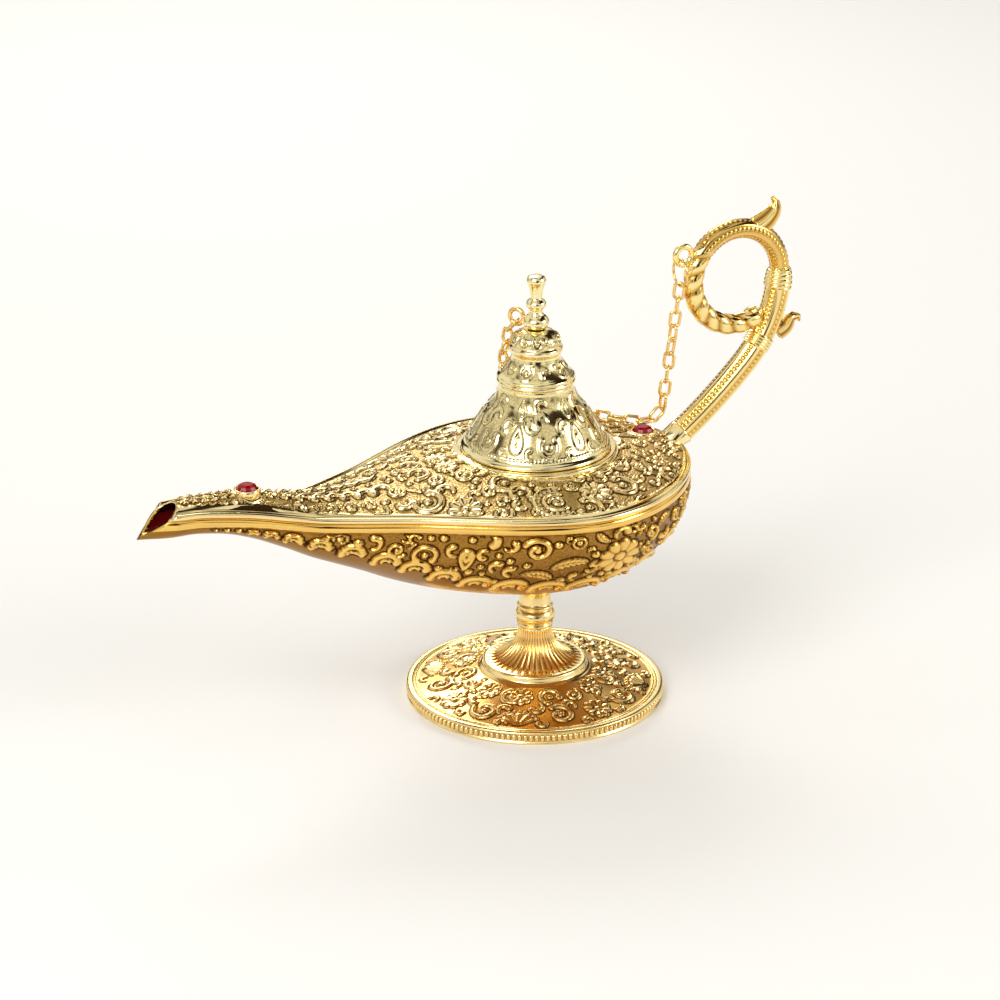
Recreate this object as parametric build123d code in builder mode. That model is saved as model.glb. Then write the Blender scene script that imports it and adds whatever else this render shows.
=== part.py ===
from build123d import *
import math
import os

os.makedirs("parts", exist_ok=True)

# An oil lamp of cast and gold-plated halves. It stands on its foot at the origin, +Z up.
# The nozzle points to -X and the handle to +X. All lengths are in millimetres.

# Hull: a bowl and a deck that meet at a level rim and share one plan outline
rear_reach = 49.0
spout_reach = 128.5
half_width = 46.5
bowl_depth = 35.0
deck_rise = 8.5
spout_lift = 7.0
shell_wall = 1.6
deck_band = 1.8
bowl_band = 3.0
rim_step = 1.2
cut_over = 2.0
rear_plan_power = 1.8
rear_crown_power = 3.0
rear_crown_root = 0.8
nose_wall_share = 0.24
keel_facets = 8
dome_facets = 4
rear_station_shares = (0.995, 0.96, 0.88, 0.74, 0.56, 0.32, 0.0)
# Each row is a station on the spout: its X as a share of spout_reach, its half width as a share of
# half_width, its rim lift as a share of spout_lift, its crown above the rim as a share of deck_rise
# and its keel below the rim as a share of bowl_depth
spout_station_shares = (
    (0.090, 0.960, 0.0, 1.013, 0.985),
    (0.195, 0.839, 0.0, 1.000, 0.923),
    (0.296, 0.677, 0.0, 0.881, 0.834),
    (0.389, 0.520, 0.0, 0.692, 0.714),
    (0.482, 0.391, 0.0, 0.552, 0.557),
    (0.576, 0.273, 0.03, 0.659, 0.414),
    (0.654, 0.215, 0.255, 0.716, 0.309),
    (0.739, 0.185, 0.600, 0.704, 0.229),
    (0.817, 0.172, 0.855, 0.576, 0.189),
    (0.887, 0.159, 1.0, 0.469, 0.186),
    (0.934, 0.133, 1.0, 0.432, 0.189),
    (1.000, 0.026, 0.930, 0.329, 0.160),
)

# Nozzle mouth: one slanting cut from the upper lip down to the pointed lower lip
lower_lip_rise = 1.0
mouth_slope = 0.76

# Lid opening, with the raised ring that the lid sits on
opening_radius = 21.3
seat_radius = 24.5
seat_rise = 8.0
seat_depth = 3.8

# Glass gems in round bezels on the centre line
gem_radius = 3.2
gem_height = 2.2
gem_bezel_wall = 0.8
gem_clearance = 0.05
gem_sides = 8
gem_table_share = 0.55
spout_gem_x = -94.1
deck_gem_x = 36.9
bezel_rise = 0.9

# Foot, a thin casting that is hollow underneath
foot_radius = 40.0
foot_edge = 4.0
foot_wall = 2.2
foot_top = 22.5
foot_top_radius = 5.0
foot_ring_radius = 15.4
foot_ring_height = 11.5
foot_rim_width = 2.4
foot_rim_groove = 0.6
foot_screw_pad = 3.0

# Collar between foot and bowl
collar_radius = 5.6
collar_bead_radius = 6.2
collar_ring = 1.4
collar_bead_height = 4.4
collar_neck_radius = 4.9
collar_height = 15.0
collar_top_radius = 8.5
boss_stand = 0.5

# Screws and their washers
screw_radius = 1.5
screw_head_radius = 2.7
screw_head_height = 1.8
screw_clearance = 0.2
thread_clearance = 0.02
washer_radius = 4.2
washer_thickness = 0.8
screw_engagement = 5.0
boss_cover = 1.0

# Handle: a curved stem that runs into one round loop, all in the XZ plane
handle_root_reach = 1.7
handle_root_rise = 4.4
handle_root_angle = 37.0
handle_boss_radius = 4.2
handle_boss_depth = 6.6
stem_radius = 3.7
stem_arc_radius = 183.0
stem_arc_turn = 8.8
bend_arc_radius = 43.0
bend_arc_turn = 41.5
loop_radius = 15.2
loop_turn = 301.0
loop_tube_radius = 2.9
tube_sides = 8
tail_length = 1.6
tail_taper = 40.0
band_radius = 4.1
band_length = 4.0
chevron_radius = 4.0
chevron_length = 4.6
leaf_thickness = 2.4
top_leaf_length = 13.0
top_leaf_width = 8.0
tail_leaf_length = 12.0
tail_leaf_width = 5.6
handle_screw_depth = 8.0
handle_screw_radius = 1.25
handle_screw_head_radius = 2.2
band_place_share = 0.62
chevron_place_share = 0.97
tail_leaf_place_share = 0.74
tail_leaf_turn = 6.0
top_leaf_angle = 72.0
top_leaf_turn = 48.0

# Eye on the handle loop and eye on the lid
eye_radius = 2.8
eye_wire_radius = 0.95
eye_sides = 14
handle_eye_angle = 153.6
lid_eye_radius = 2.3
lid_eye_wire_radius = 0.7
lid_eye_azimuth = 123.0
lid_eye_rise = 2.7

# Lid: a spun cone with a waist ring, a bulb and a screwed-on finial
lip_radius = 22.8
lip_height = 1.6
skirt_depth = 5.0
skirt_clearance = 0.4
skirt_wall = 1.3
cone_root_radius = 21.8
cone_rise = 19.6
# Two points of the cone between its root and its waist: share of the rise, share of the radius left
cone_point_shares = ((0.5, 0.481), (0.74, 0.123))
waist_radius = 11.2
waist_ring_radius = 11.9
waist_ring_height = 2.4
neck_radius = 7.5
neck_rise = 5.2
neck_length = 1.6
neck_dip = 0.5
shoulder_radius = 8.1
shoulder_length = 2.0
bulb_radius = 7.2
bulb_rise = 4.9
bulb_bulge = 0.75
bulb_top_radius = 3.4
lid_wall = 1.5
cone_wall = 3.0
cone_facets = 5
finial_bead_radius = 3.7
finial_bead_height = 4.6
finial_small_bead_radius = 2.9
finial_small_bead_height = 3.2
finial_neck_radius = 2.0
finial_neck_gap = 1.6
finial_flare_radius = 3.0
finial_length = 16.7
finial_tip_rise = 1.2
stud_length = 8.0
stud_gap = 0.5

# Chain: polygon links of drawn wire
link_length = 6.3
link_width = 4.1
link_wire = 0.7
link_clearance = 0.3
link_corners = 4
wire_chamfer_share = 0.28
ring_radius = 4.3
ring_sides = 16
ring_clearance = 0.3
ring_side_step = 1.0
hanging_links = 9
hanging_turn = 45.0
hanging_twist = 16.9
chain_foot_inset = 3.0
chain_foot_y = 4.5
chain_lie = 2.25
straight_deck_links = 2
turning_deck_links = 3
orbit_deck_links = 6
carried_deck_links = 3
orbit_inward = 11.0
chain_gap = 2.9
lid_chain_links = 10
lid_chain_lie = 2.4
slope_lie_share = 1.4
drape_step = 0.002

# Heights that follow from the sizes above
collar_top = foot_top + collar_height
rim_height = collar_top + boss_stand + bowl_depth
seat_height = rim_height + seat_rise
waist_height = seat_height + lip_height + cone_rise
ring_top_height = waist_height + waist_ring_height
neck_height = ring_top_height + neck_rise
shoulder_low = neck_height + neck_length
shoulder_high = shoulder_low + shoulder_length
bulb_top_height = shoulder_high + bulb_rise
finial_top = bulb_top_height + finial_length
lid_eye_height = bulb_top_height + lid_eye_rise
chain_foot_x = rear_reach - chain_foot_inset


def save(piece, name):
    piece.label = name
    export_step(piece, f"parts/{name}.step")


def unit(degrees):
    return math.cos(math.radians(degrees)), math.sin(math.radians(degrees))


def facet_curve(curve, steps):
    """A curve built as a few straight facets."""
    return Polyline(*[curve @ (step / steps) for step in range(steps + 1)])


def facet_arc(first, middle, last, steps=3):
    """A three-point arc built as a few straight facets."""
    return facet_curve(ThreePointArc(first, middle, last, mode=Mode.PRIVATE), steps)


# Hull stations
def rear_station(share):
    """Half width, rim lift, crown above the rim and keel below it, behind the lid's axis."""
    width = half_width * (1 - share**rear_plan_power) ** (1 / rear_plan_power)
    dome = (deck_rise - deck_band) * (1 - share**rear_crown_power) ** rear_crown_root
    keel = bowl_band + (bowl_depth - bowl_band) * math.sqrt(1 - share**2)
    return rear_reach * share, width, 0.0, deck_band + dome, keel


def spout_station(row):
    """The same five sizes at one row of the spout's table."""
    return (
        -spout_reach * row[0],
        half_width * row[1],
        spout_lift * row[2],
        deck_rise * row[3],
        bowl_depth * row[4],
    )


stations = [rear_station(share) for share in rear_station_shares]
stations += [spout_station(row) for row in spout_station_shares]


def station_at(x):
    """The five sizes at any X, straight between the stations on each side."""
    for rear, front in zip(stations, stations[1:]):
        if front[0] <= x <= rear[0]:
            along = (rear[0] - x) / (rear[0] - front[0])
            return [a + (b - a) * along for a, b in zip(rear, front)]
    return list(stations[0])


def deck_height(x, y):
    """Height of the deck's outer face over a point of the plan."""
    _, width, lift, crown, _ = station_at(x)
    half_chord = width - rim_step
    dome = crown - deck_band
    radius = (half_chord**2 + dome**2) / (2 * dome)
    if abs(y) >= half_chord:
        return rim_height + lift + deck_band
    return rim_height + lift + crown - radius + math.sqrt(radius**2 - y**2)


def hull_inner_width(width):
    return width - min(rim_step + shell_wall, nose_wall_share * width)


def lower_half(centre, across, down):
    """The lower half of an upright ellipse."""
    return EllipticalCenterArc(centre, across, down, start_angle=180, arc_size=180, mode=Mode.PRIVATE)


# Cavity inside both shells, used as a cutter
with BuildPart() as cavity:
    for x, width, lift, crown, keel in stations:
        rim = rim_height + lift
        inner = hull_inner_width(width)
        x_in = x - shell_wall if x > 0 else x
        with BuildSketch(Plane.YZ.offset(x_in)):
            with BuildLine():
                facet_arc((-inner, rim), (0, rim + crown - shell_wall / 2), (inner, rim), dome_facets)
                facet_curve(lower_half((0, rim), inner, keel - shell_wall), keel_facets)
            make_face()
    loft(ruled=True)

# Cutter for the nozzle mouth
tip_x = -spout_reach - cut_over
mouth_low = rim_height + lower_lip_rise - mouth_slope * cut_over
mouth_cut_top = rim_height + spout_lift + 2 * deck_rise
mouth_run = (mouth_cut_top - mouth_low) / mouth_slope
with BuildPart() as mouth_cut:
    with BuildSketch(Plane.XZ):
        with BuildLine():
            Polyline(
                (tip_x, mouth_low),
                (tip_x + mouth_run, mouth_cut_top),
                (tip_x, mouth_cut_top),
                close=True,
            )
        make_face()
    extrude(amount=half_width, both=True)

# Bowl shell
boss_bottom = collar_top
boss_top = rim_height - bowl_depth + shell_wall + screw_engagement
with BuildPart() as bowl_shell:
    for x, width, lift, crown, keel in stations:
        rim = rim_height + lift
        waist = width - min(rim_step, nose_wall_share * width)
        with BuildSketch(Plane.YZ.offset(x)):
            with BuildLine():
                Polyline((waist, rim - bowl_band), (width, rim - bowl_band), (width, rim), (-width, rim))
                Polyline((-width, rim), (-width, rim - bowl_band), (-waist, rim - bowl_band))
                facet_curve(lower_half((0, rim - bowl_band), waist, keel - bowl_band), keel_facets)
            make_face()
    loft(ruled=True)
    add(cavity.part, mode=Mode.SUBTRACT)
    add(mouth_cut.part, mode=Mode.SUBTRACT)
    with BuildSketch(Plane.XY.offset(boss_bottom)):
        Circle(collar_top_radius)
    extrude(amount=boss_top - boss_bottom)
    with BuildSketch(Plane.XY.offset(boss_bottom)):
        Circle(screw_radius + thread_clearance)
    extrude(amount=boss_top - boss_bottom - boss_cover, mode=Mode.SUBTRACT)
save(bowl_shell.part, "bowl_shell")

# Deck shell
root_dir = unit(handle_root_angle)
handle_root = (rear_reach + handle_root_reach, rim_height + handle_root_rise)
boss_plane = Plane(
    origin=(handle_root[0], 0, handle_root[1]),
    x_dir=(0, 1, 0),
    z_dir=(root_dir[0], 0, root_dir[1]),
)
with BuildPart() as deck_shell:
    for x, width, lift, crown, keel in stations:
        rim = rim_height + lift
        waist = width - min(rim_step, nose_wall_share * width)
        with BuildSketch(Plane.YZ.offset(x)):
            with BuildLine():
                Polyline((-waist, rim + deck_band), (-width, rim + deck_band), (-width, rim), (width, rim))
                Polyline((width, rim), (width, rim + deck_band), (waist, rim + deck_band))
                facet_arc((waist, rim + deck_band), (0, rim + crown), (-waist, rim + deck_band), dome_facets)
            make_face()
    loft(ruled=True)
    add(cavity.part, mode=Mode.SUBTRACT)
    add(mouth_cut.part, mode=Mode.SUBTRACT)
    # Seat ring round the lid opening
    with BuildSketch(Plane.XY.offset(seat_height - seat_depth)):
        Circle(seat_radius)
    extrude(amount=seat_depth)
    with BuildSketch(Plane.XY.offset(seat_height)):
        Circle(seat_radius)
    extrude(amount=deck_rise, mode=Mode.SUBTRACT)
    with BuildSketch(Plane.XY.offset(rim_height)):
        Circle(opening_radius)
    extrude(amount=2 * deck_rise, mode=Mode.SUBTRACT)
    # Bezels for the gems
    for gem_x in (spout_gem_x, deck_gem_x):
        gem_floor = deck_height(gem_x, 0)
        with BuildSketch(Plane.XY.offset(gem_floor - shell_wall)):
            with Locations((gem_x, 0)):
                Circle(gem_radius + gem_bezel_wall)
        extrude(amount=shell_wall + bezel_rise)
        with BuildSketch(Plane.XY.offset(gem_floor)):
            with Locations((gem_x, 0)):
                Circle(gem_radius + gem_clearance)
        extrude(amount=bezel_rise, mode=Mode.SUBTRACT)
    # Boss that carries the handle, cut level with the rim
    with BuildSketch(boss_plane):
        Circle(handle_boss_radius)
    extrude(amount=-handle_boss_depth)
    with BuildSketch(Plane.XY.offset(rim_height)):
        with Locations((rear_reach, 0)):
            Rectangle(2 * handle_boss_depth + cut_over, 2 * handle_boss_radius + cut_over)
    extrude(amount=-2 * handle_boss_radius, mode=Mode.SUBTRACT)
    with BuildSketch(boss_plane):
        Circle(handle_screw_radius + screw_clearance)
    extrude(amount=-handle_boss_depth, mode=Mode.SUBTRACT)
save(deck_shell.part, "deck_shell")

# Gems with a flat table and eight sloping facets
for gem_name, gem_x in (("spout_gem", spout_gem_x), ("deck_gem", deck_gem_x)):
    with BuildPart() as gem:
        gem_floor = deck_height(gem_x, 0)
        with BuildSketch(Plane.XY.offset(gem_floor)):
            with Locations((gem_x, 0)):
                RegularPolygon(gem_radius, gem_sides)
        extrude(amount=bezel_rise)
        with BuildSketch(Plane.XY.offset(gem_floor + bezel_rise)):
            with Locations((gem_x, 0)):
                RegularPolygon(gem_radius, gem_sides)
        with BuildSketch(Plane.XY.offset(gem_floor + gem_height)):
            with Locations((gem_x, 0)):
                RegularPolygon(gem_radius * gem_table_share, gem_sides)
        loft(ruled=True)
    save(gem.part, gem_name)

# Foot
pad_bottom = foot_top - foot_screw_pad
hole_radius = screw_radius + screw_clearance
hollow_radius = foot_ring_radius - foot_wall
groove = foot_edge - foot_rim_groove
rim_in = foot_radius - foot_rim_width
with BuildPart() as foot:
    with BuildSketch(Plane.XZ):
        with BuildLine():
            Polyline(
                (foot_radius - foot_wall, 0),
                (foot_radius, 0),
                (foot_radius, foot_edge),
                (rim_in, foot_edge),
                (rim_in, groove),
                (rim_in - foot_rim_groove, groove),
                (rim_in - foot_rim_groove, foot_edge),
            )
            facet_arc(
                (rim_in - foot_rim_groove, foot_edge),
                ((rim_in + foot_ring_radius) / 2, foot_edge + (foot_ring_height - foot_edge) / 3),
                (foot_ring_radius + foot_rim_groove, foot_ring_height - foot_wall),
            )
            Polyline(
                (foot_ring_radius + foot_rim_groove, foot_ring_height - foot_wall),
                (foot_ring_radius + foot_rim_groove, foot_ring_height),
                (foot_ring_radius - foot_rim_groove, foot_ring_height),
            )
            facet_arc(
                (foot_ring_radius - foot_rim_groove, foot_ring_height),
                (foot_top_radius + foot_wall, (foot_ring_height + foot_top) / 2 - foot_wall / 2),
                (foot_top_radius, foot_top),
            )
            Polyline(
                (foot_top_radius, foot_top),
                (hole_radius, foot_top),
                (hole_radius, pad_bottom),
                (foot_top_radius - foot_wall / 2, pad_bottom),
            )
            facet_arc(
                (foot_top_radius - foot_wall / 2, pad_bottom),
                (foot_top_radius + foot_wall / 2, (foot_ring_height + foot_top) / 2 - 2 * foot_wall),
                (hollow_radius, foot_ring_height - foot_wall),
            )
            Polyline(
                (hollow_radius, foot_ring_height - foot_wall),
                (rim_in - foot_wall, foot_edge - foot_wall),
                (foot_radius - foot_wall, 0),
            )
        make_face()
    revolve(axis=Axis.Z)
save(foot.part, "foot")

# Collar: a thin ring, a barrel bead, another ring and a neck that flares under the bowl
bead_low = foot_top + collar_ring
bead_high = bead_low + collar_bead_height
neck_low = bead_high + collar_ring
with BuildPart() as stem_collar:
    with BuildSketch(Plane.XZ):
        with BuildLine():
            Polyline((hole_radius, foot_top), (collar_radius, foot_top), (collar_radius, bead_low))
            facet_arc(
                (collar_radius, bead_low),
                (collar_bead_radius, (bead_low + bead_high) / 2),
                (collar_radius, bead_high),
            )
            Polyline((collar_radius, bead_high), (collar_radius, neck_low), (collar_neck_radius, neck_low))
            facet_arc(
                (collar_neck_radius, neck_low),
                (collar_radius, (neck_low + collar_top) / 2 + collar_ring),
                (collar_top_radius, collar_top),
            )
            Polyline((collar_top_radius, collar_top), (hole_radius, collar_top), (hole_radius, foot_top))
        make_face()
    revolve(axis=Axis.Z)
save(stem_collar.part, "stem_collar")

# Screw and washer that pull foot, collar and bowl together
with BuildPart() as foot_washer:
    with BuildSketch(Plane.XY.offset(pad_bottom - washer_thickness)):
        Circle(washer_radius - foot_wall / 2)
        Circle(hole_radius, mode=Mode.SUBTRACT)
    extrude(amount=washer_thickness)
save(foot_washer.part, "foot_washer")

with BuildPart() as foot_screw:
    with BuildSketch(Plane.XY.offset(pad_bottom - washer_thickness)):
        Circle(screw_radius)
    extrude(amount=boss_top - boss_cover - pad_bottom)
    with BuildSketch(Plane.XY.offset(pad_bottom - washer_thickness)):
        Circle(screw_head_radius)
    extrude(amount=-screw_head_height)
save(foot_screw.part, "foot_screw")

# Handle: stem and loop as tangent arcs in the XZ plane, with bindings, leaves and an eye
with BuildPart() as handle:
    with BuildLine(Plane.XZ) as stem_path:
        stem_arc = JernArc(handle_root, root_dir, stem_arc_radius, stem_arc_turn)
        bend_arc = JernArc(stem_arc @ 1, stem_arc % 1, bend_arc_radius, bend_arc_turn)
    with BuildSketch(boss_plane):
        RegularPolygon(stem_radius, tube_sides)
    sweep(path=stem_path.wires()[0])
    with BuildLine(Plane.XZ) as loop_path:
        loop_arc = JernArc(bend_arc @ 1, bend_arc % 1, loop_radius, loop_turn)
    loop_wire = loop_path.wires()[0]
    loop_centre = loop_path.edges()[0].arc_center
    with BuildSketch(Plane(origin=loop_wire @ 0, x_dir=(0, 1, 0), z_dir=loop_wire % 0)):
        RegularPolygon(loop_tube_radius, tube_sides)
    sweep(path=loop_wire)
    # Tapered tail end of the scroll
    with BuildSketch(Plane(origin=loop_wire @ 1, x_dir=(0, 1, 0), z_dir=loop_wire % 1)):
        RegularPolygon(loop_tube_radius, tube_sides)
    extrude(amount=tail_length, taper=tail_taper)
    # Wire-wrapped band low on the stem and the chevron binding at its top
    stem_wire = stem_path.wires()[0]
    for place, radius, length in (
        (band_place_share, band_radius, band_length),
        (chevron_place_share, chevron_radius, chevron_length),
    ):
        with BuildSketch(Plane(origin=stem_wire @ place, x_dir=(0, 1, 0), z_dir=stem_wire % place)):
            Circle(radius)
        extrude(amount=length / 2, both=True)
    # Leaf on top of the loop, pointing up and back
    top_u = unit(top_leaf_angle)
    leaf_u = unit(top_leaf_turn)
    leaf_base = loop_centre + Vector(top_u[0], 0, top_u[1]) * loop_radius
    leaf_plane = Plane(origin=leaf_base, x_dir=(leaf_u[0], 0, leaf_u[1]), z_dir=(0, -1, 0))
    with BuildSketch(leaf_plane):
        with BuildLine():
            ThreePointArc(
                (0, top_leaf_width / 2),
                (top_leaf_length / 2, top_leaf_width / 3),
                (top_leaf_length, 0),
            )
            ThreePointArc(
                (top_leaf_length, 0),
                (top_leaf_length / 2, -top_leaf_width / 3),
                (0, -top_leaf_width / 2),
            )
            Line((0, -top_leaf_width / 2), (0, top_leaf_width / 2))
        make_face()
    extrude(amount=leaf_thickness / 2, both=True)
    # Small leaf behind the stem
    tail_u = unit(tail_leaf_turn)
    tail_base = stem_wire @ tail_leaf_place_share
    tail_plane = Plane(origin=tail_base, x_dir=(tail_u[0], 0, tail_u[1]), z_dir=(0, -1, 0))
    with BuildSketch(tail_plane):
        with BuildLine():
            ThreePointArc(
                (0, tail_leaf_width / 2),
                (tail_leaf_length / 2, tail_leaf_width / 2),
                (tail_leaf_length, 0),
            )
            ThreePointArc(
                (tail_leaf_length, 0),
                (tail_leaf_length / 2, -tail_leaf_width / 3),
                (0, -tail_leaf_width / 2),
            )
            Line((0, -tail_leaf_width / 2), (0, tail_leaf_width / 2))
        make_face()
    extrude(amount=leaf_thickness / 2, both=True)
    # Eye for the chain, cast on the loop's outer side
    eye_u = unit(handle_eye_angle)
    eye_reach = loop_radius + loop_tube_radius + eye_radius
    eye_centre = loop_centre + Vector(eye_u[0], 0, eye_u[1]) * eye_reach
    with BuildSketch(Plane(origin=eye_centre, x_dir=(1, 0, 0), z_dir=(0, -1, 0))):
        RegularPolygon(eye_radius + eye_wire_radius, eye_sides)
        RegularPolygon(eye_radius - eye_wire_radius, eye_sides, mode=Mode.SUBTRACT)
    extrude(amount=eye_wire_radius, both=True)
    # Threaded hole for the screw from inside the deck
    with BuildSketch(boss_plane):
        Circle(handle_screw_radius + thread_clearance)
    extrude(amount=handle_screw_depth + boss_cover, mode=Mode.SUBTRACT)
save(handle.part, "handle")

with BuildPart() as handle_screw:
    with BuildSketch(boss_plane.offset(-handle_boss_depth)):
        Circle(handle_screw_head_radius)
    extrude(amount=-screw_head_height / 2)
    with BuildSketch(boss_plane.offset(-handle_boss_depth)):
        Circle(handle_screw_radius)
    extrude(amount=handle_boss_depth + handle_screw_depth)
save(handle_screw.part, "handle_screw")

# Lid: half profile of the outside, then the hollow inside
skirt_radius = opening_radius - skirt_clearance
hollow_low = skirt_radius - skirt_wall
lip_top = seat_height + lip_height
stud_hole = screw_radius + thread_clearance
hollow_top = bulb_top_height - screw_engagement
cone_points = [(cone_root_radius, lip_top)]
for rise_share, radius_share in cone_point_shares:
    cone_radius = waist_radius + (cone_root_radius - waist_radius) * radius_share
    cone_points.append((cone_radius, lip_top + cone_rise * rise_share))
cone_points.append((waist_radius, waist_height))
with BuildPart() as lid_cone:
    with BuildSketch(Plane.XZ):
        with BuildLine():
            Polyline(
                (hollow_low, seat_height - skirt_depth),
                (skirt_radius, seat_height - skirt_depth),
                (skirt_radius, seat_height),
                (lip_radius, seat_height),
                (lip_radius, lip_top),
                (cone_root_radius, lip_top),
            )
            cone = Spline(*cone_points, tangents=((0, 1), (0, 1)), mode=Mode.PRIVATE)
            facet_curve(cone, cone_facets)
            Polyline(
                (waist_radius, waist_height),
                (waist_ring_radius, waist_height),
                (waist_ring_radius, ring_top_height),
                (waist_radius, ring_top_height),
            )
            facet_arc(
                (waist_radius, ring_top_height),
                ((waist_radius + neck_radius) / 2 - neck_dip, (ring_top_height + neck_height) / 2),
                (neck_radius, neck_height),
            )
            Polyline(
                (neck_radius, neck_height),
                (neck_radius, shoulder_low),
                (shoulder_radius, shoulder_low),
                (shoulder_radius, shoulder_high),
                (bulb_radius, shoulder_high),
            )
            facet_arc(
                (bulb_radius, shoulder_high),
                (bulb_radius - bulb_bulge, (shoulder_high + bulb_top_height) / 2 + bulb_bulge),
                (bulb_top_radius, bulb_top_height),
            )
            Polyline(
                (bulb_top_radius, bulb_top_height),
                (stud_hole, bulb_top_height),
                (stud_hole, hollow_top),
                (neck_radius - lid_wall, neck_height),
                (waist_radius - lid_wall, waist_height),
                (cone_points[1][0] - cone_wall, cone_points[1][1] - lid_wall),
                (hollow_low, lip_top),
                (hollow_low, seat_height - skirt_depth),
            )
        make_face()
    revolve(axis=Axis.Z)
save(lid_cone.part, "lid_cone")

# Finial with its two beads and flared tip, held by a threaded stud
bead_top = bulb_top_height + finial_bead_height
small_low = bead_top + finial_neck_gap
small_top = small_low + finial_small_bead_height
flare_height = finial_top - finial_tip_rise
bead_root_radius = (finial_bead_radius + screw_radius) / 2
with BuildPart() as finial:
    with BuildSketch(Plane.XZ):
        with BuildLine():
            Line((0, bulb_top_height), (bead_root_radius, bulb_top_height))
            facet_arc(
                (bead_root_radius, bulb_top_height),
                (finial_bead_radius, (bulb_top_height + bead_top) / 2),
                (bead_root_radius, bead_top),
            )
            Polyline((bead_root_radius, bead_top), (finial_neck_radius, bead_top), (finial_neck_radius, small_low))
            facet_arc(
                (finial_neck_radius, small_low),
                (finial_small_bead_radius, (small_low + small_top) / 2),
                (finial_neck_radius, small_top),
            )
            facet_arc(
                (finial_neck_radius, small_top),
                (finial_neck_radius, (small_top + flare_height) / 2),
                (finial_flare_radius, flare_height),
            )
            Polyline(
                (finial_flare_radius, flare_height),
                (finial_neck_radius, finial_top),
                (0, finial_top),
                (0, bulb_top_height),
            )
        make_face()
    revolve(axis=Axis.Z)
    with BuildSketch(Plane.XY.offset(bulb_top_height)):
        Circle(screw_radius + thread_clearance)
    extrude(amount=stud_length - screw_engagement + stud_gap, mode=Mode.SUBTRACT)
save(finial.part, "finial")

with BuildPart() as finial_stud:
    with BuildSketch(Plane.XY.offset(hollow_top)):
        Circle(screw_radius)
    extrude(amount=stud_length)
save(finial_stud.part, "finial_stud")

# Eye on the lid's neck, a ring with a short shank in the finial's large bead
lid_eye_u = unit(lid_eye_azimuth)
lid_eye_reach = finial_bead_radius + lid_eye_radius + lid_eye_wire_radius
lid_eye_centre = Vector(lid_eye_u[0], lid_eye_u[1], 0) * lid_eye_reach + Vector(0, 0, lid_eye_height)
lid_eye_plane = Plane(origin=lid_eye_centre, x_dir=(0, 0, 1), z_dir=(-lid_eye_u[1], lid_eye_u[0], 0))
with BuildPart() as lid_eye:
    with BuildSketch(lid_eye_plane):
        RegularPolygon(lid_eye_radius + lid_eye_wire_radius, eye_sides)
        RegularPolygon(lid_eye_radius - lid_eye_wire_radius, eye_sides, mode=Mode.SUBTRACT)
    extrude(amount=lid_eye_wire_radius, both=True)
    sides = lid_eye.faces().filter_by(lid_eye_plane)
    chamfer(sides.edges(), lid_eye_wire_radius / 2)
save(lid_eye.part, "lid_eye")

# One chain link, flat in XY with its length on X, as a polygon of drawn wire
link_pitch = link_length - 2 * link_wire - link_clearance


def link_outline(end_radius):
    """Corners of the link's outline at one radius of its round ends."""
    half_straight = (link_length - link_width) / 2
    points = []
    for side in (1, -1):
        for step in range(link_corners + 1):
            along, across = unit(180 * step / link_corners - 90)
            points.append((side * (half_straight + end_radius * along), side * end_radius * across))
    return points


with BuildPart() as link_blank:
    with BuildSketch():
        with BuildLine():
            Polyline(*link_outline(link_width / 2), close=True)
        make_face()
        with BuildLine():
            Polyline(*link_outline(link_width / 2 - link_wire), close=True)
        make_face(mode=Mode.SUBTRACT)
    extrude(amount=link_wire / 2, both=True)
    faces = link_blank.faces().sort_by(Axis.Z)
    chamfer(faces[0].edges() + faces[-1].edges(), link_wire * wire_chamfer_share)


def chain_link(name, start, end, face_dir):
    """A link between two points of the chain, its flat side towards face_dir."""
    along = (end - start).normalized()
    normal = (face_dir - along * face_dir.dot(along)).normalized()
    with BuildPart() as link:
        with Locations(Plane(origin=(start + end) / 2, x_dir=along, z_dir=normal).location):
            add(link_blank.part)
    save(link.part, name)


# Large jump ring through the handle's eye
eye_hole = eye_radius - eye_wire_radius
ring_x = eye_centre.X - ring_side_step
ring_top = eye_centre.Z - math.sqrt(eye_hole**2 - ring_side_step**2) + ring_clearance + link_wire / 2
ring_centre = Vector(ring_x, 0, ring_top - ring_radius)
ring_pivot = Vector(ring_x, 0, eye_centre.Z - math.sqrt(eye_radius**2 - ring_side_step**2))
with BuildPart() as chain_ring:
    with BuildSketch(Plane(origin=ring_centre, x_dir=(0, 0, 1), z_dir=(1, 0, 0))):
        RegularPolygon(ring_radius + link_wire / 2, ring_sides)
        RegularPolygon(ring_radius - link_wire / 2, ring_sides, mode=Mode.SUBTRACT)
    extrude(amount=link_wire / 2, both=True)
    faces = chain_ring.faces().sort_by(Axis.X)
    chamfer(faces[0].edges() + faces[-1].edges(), link_wire * wire_chamfer_share)
save(chain_ring.part, "chain_ring")


def step_towards(point, target):
    return point + (target - point).normalized() * link_pitch


# Links that hang from the ring to the deck
hang_start = ring_centre - Vector(0, 0, ring_radius - link_wire / 2 - link_clearance)
foot_run = math.hypot(ring_x - chain_foot_x, chain_foot_y)
hang_drop = math.sqrt((hanging_links * link_pitch) ** 2 - foot_run**2)
hang_end = Vector(chain_foot_x, chain_foot_y, hang_start.Z - hang_drop)
point = hang_start
for number in range(hanging_links):
    following = step_towards(point, hang_end)
    turn = unit(hanging_turn + number * (90 + hanging_twist))
    chain_link(f"hang_link_{number + 1}", point, following, Vector(turn[0], turn[1], 0))
    point = following
chain_foot = point


def deck_lie(x, y):
    return Vector(x, y, deck_height(x, y) + chain_lie)


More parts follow.
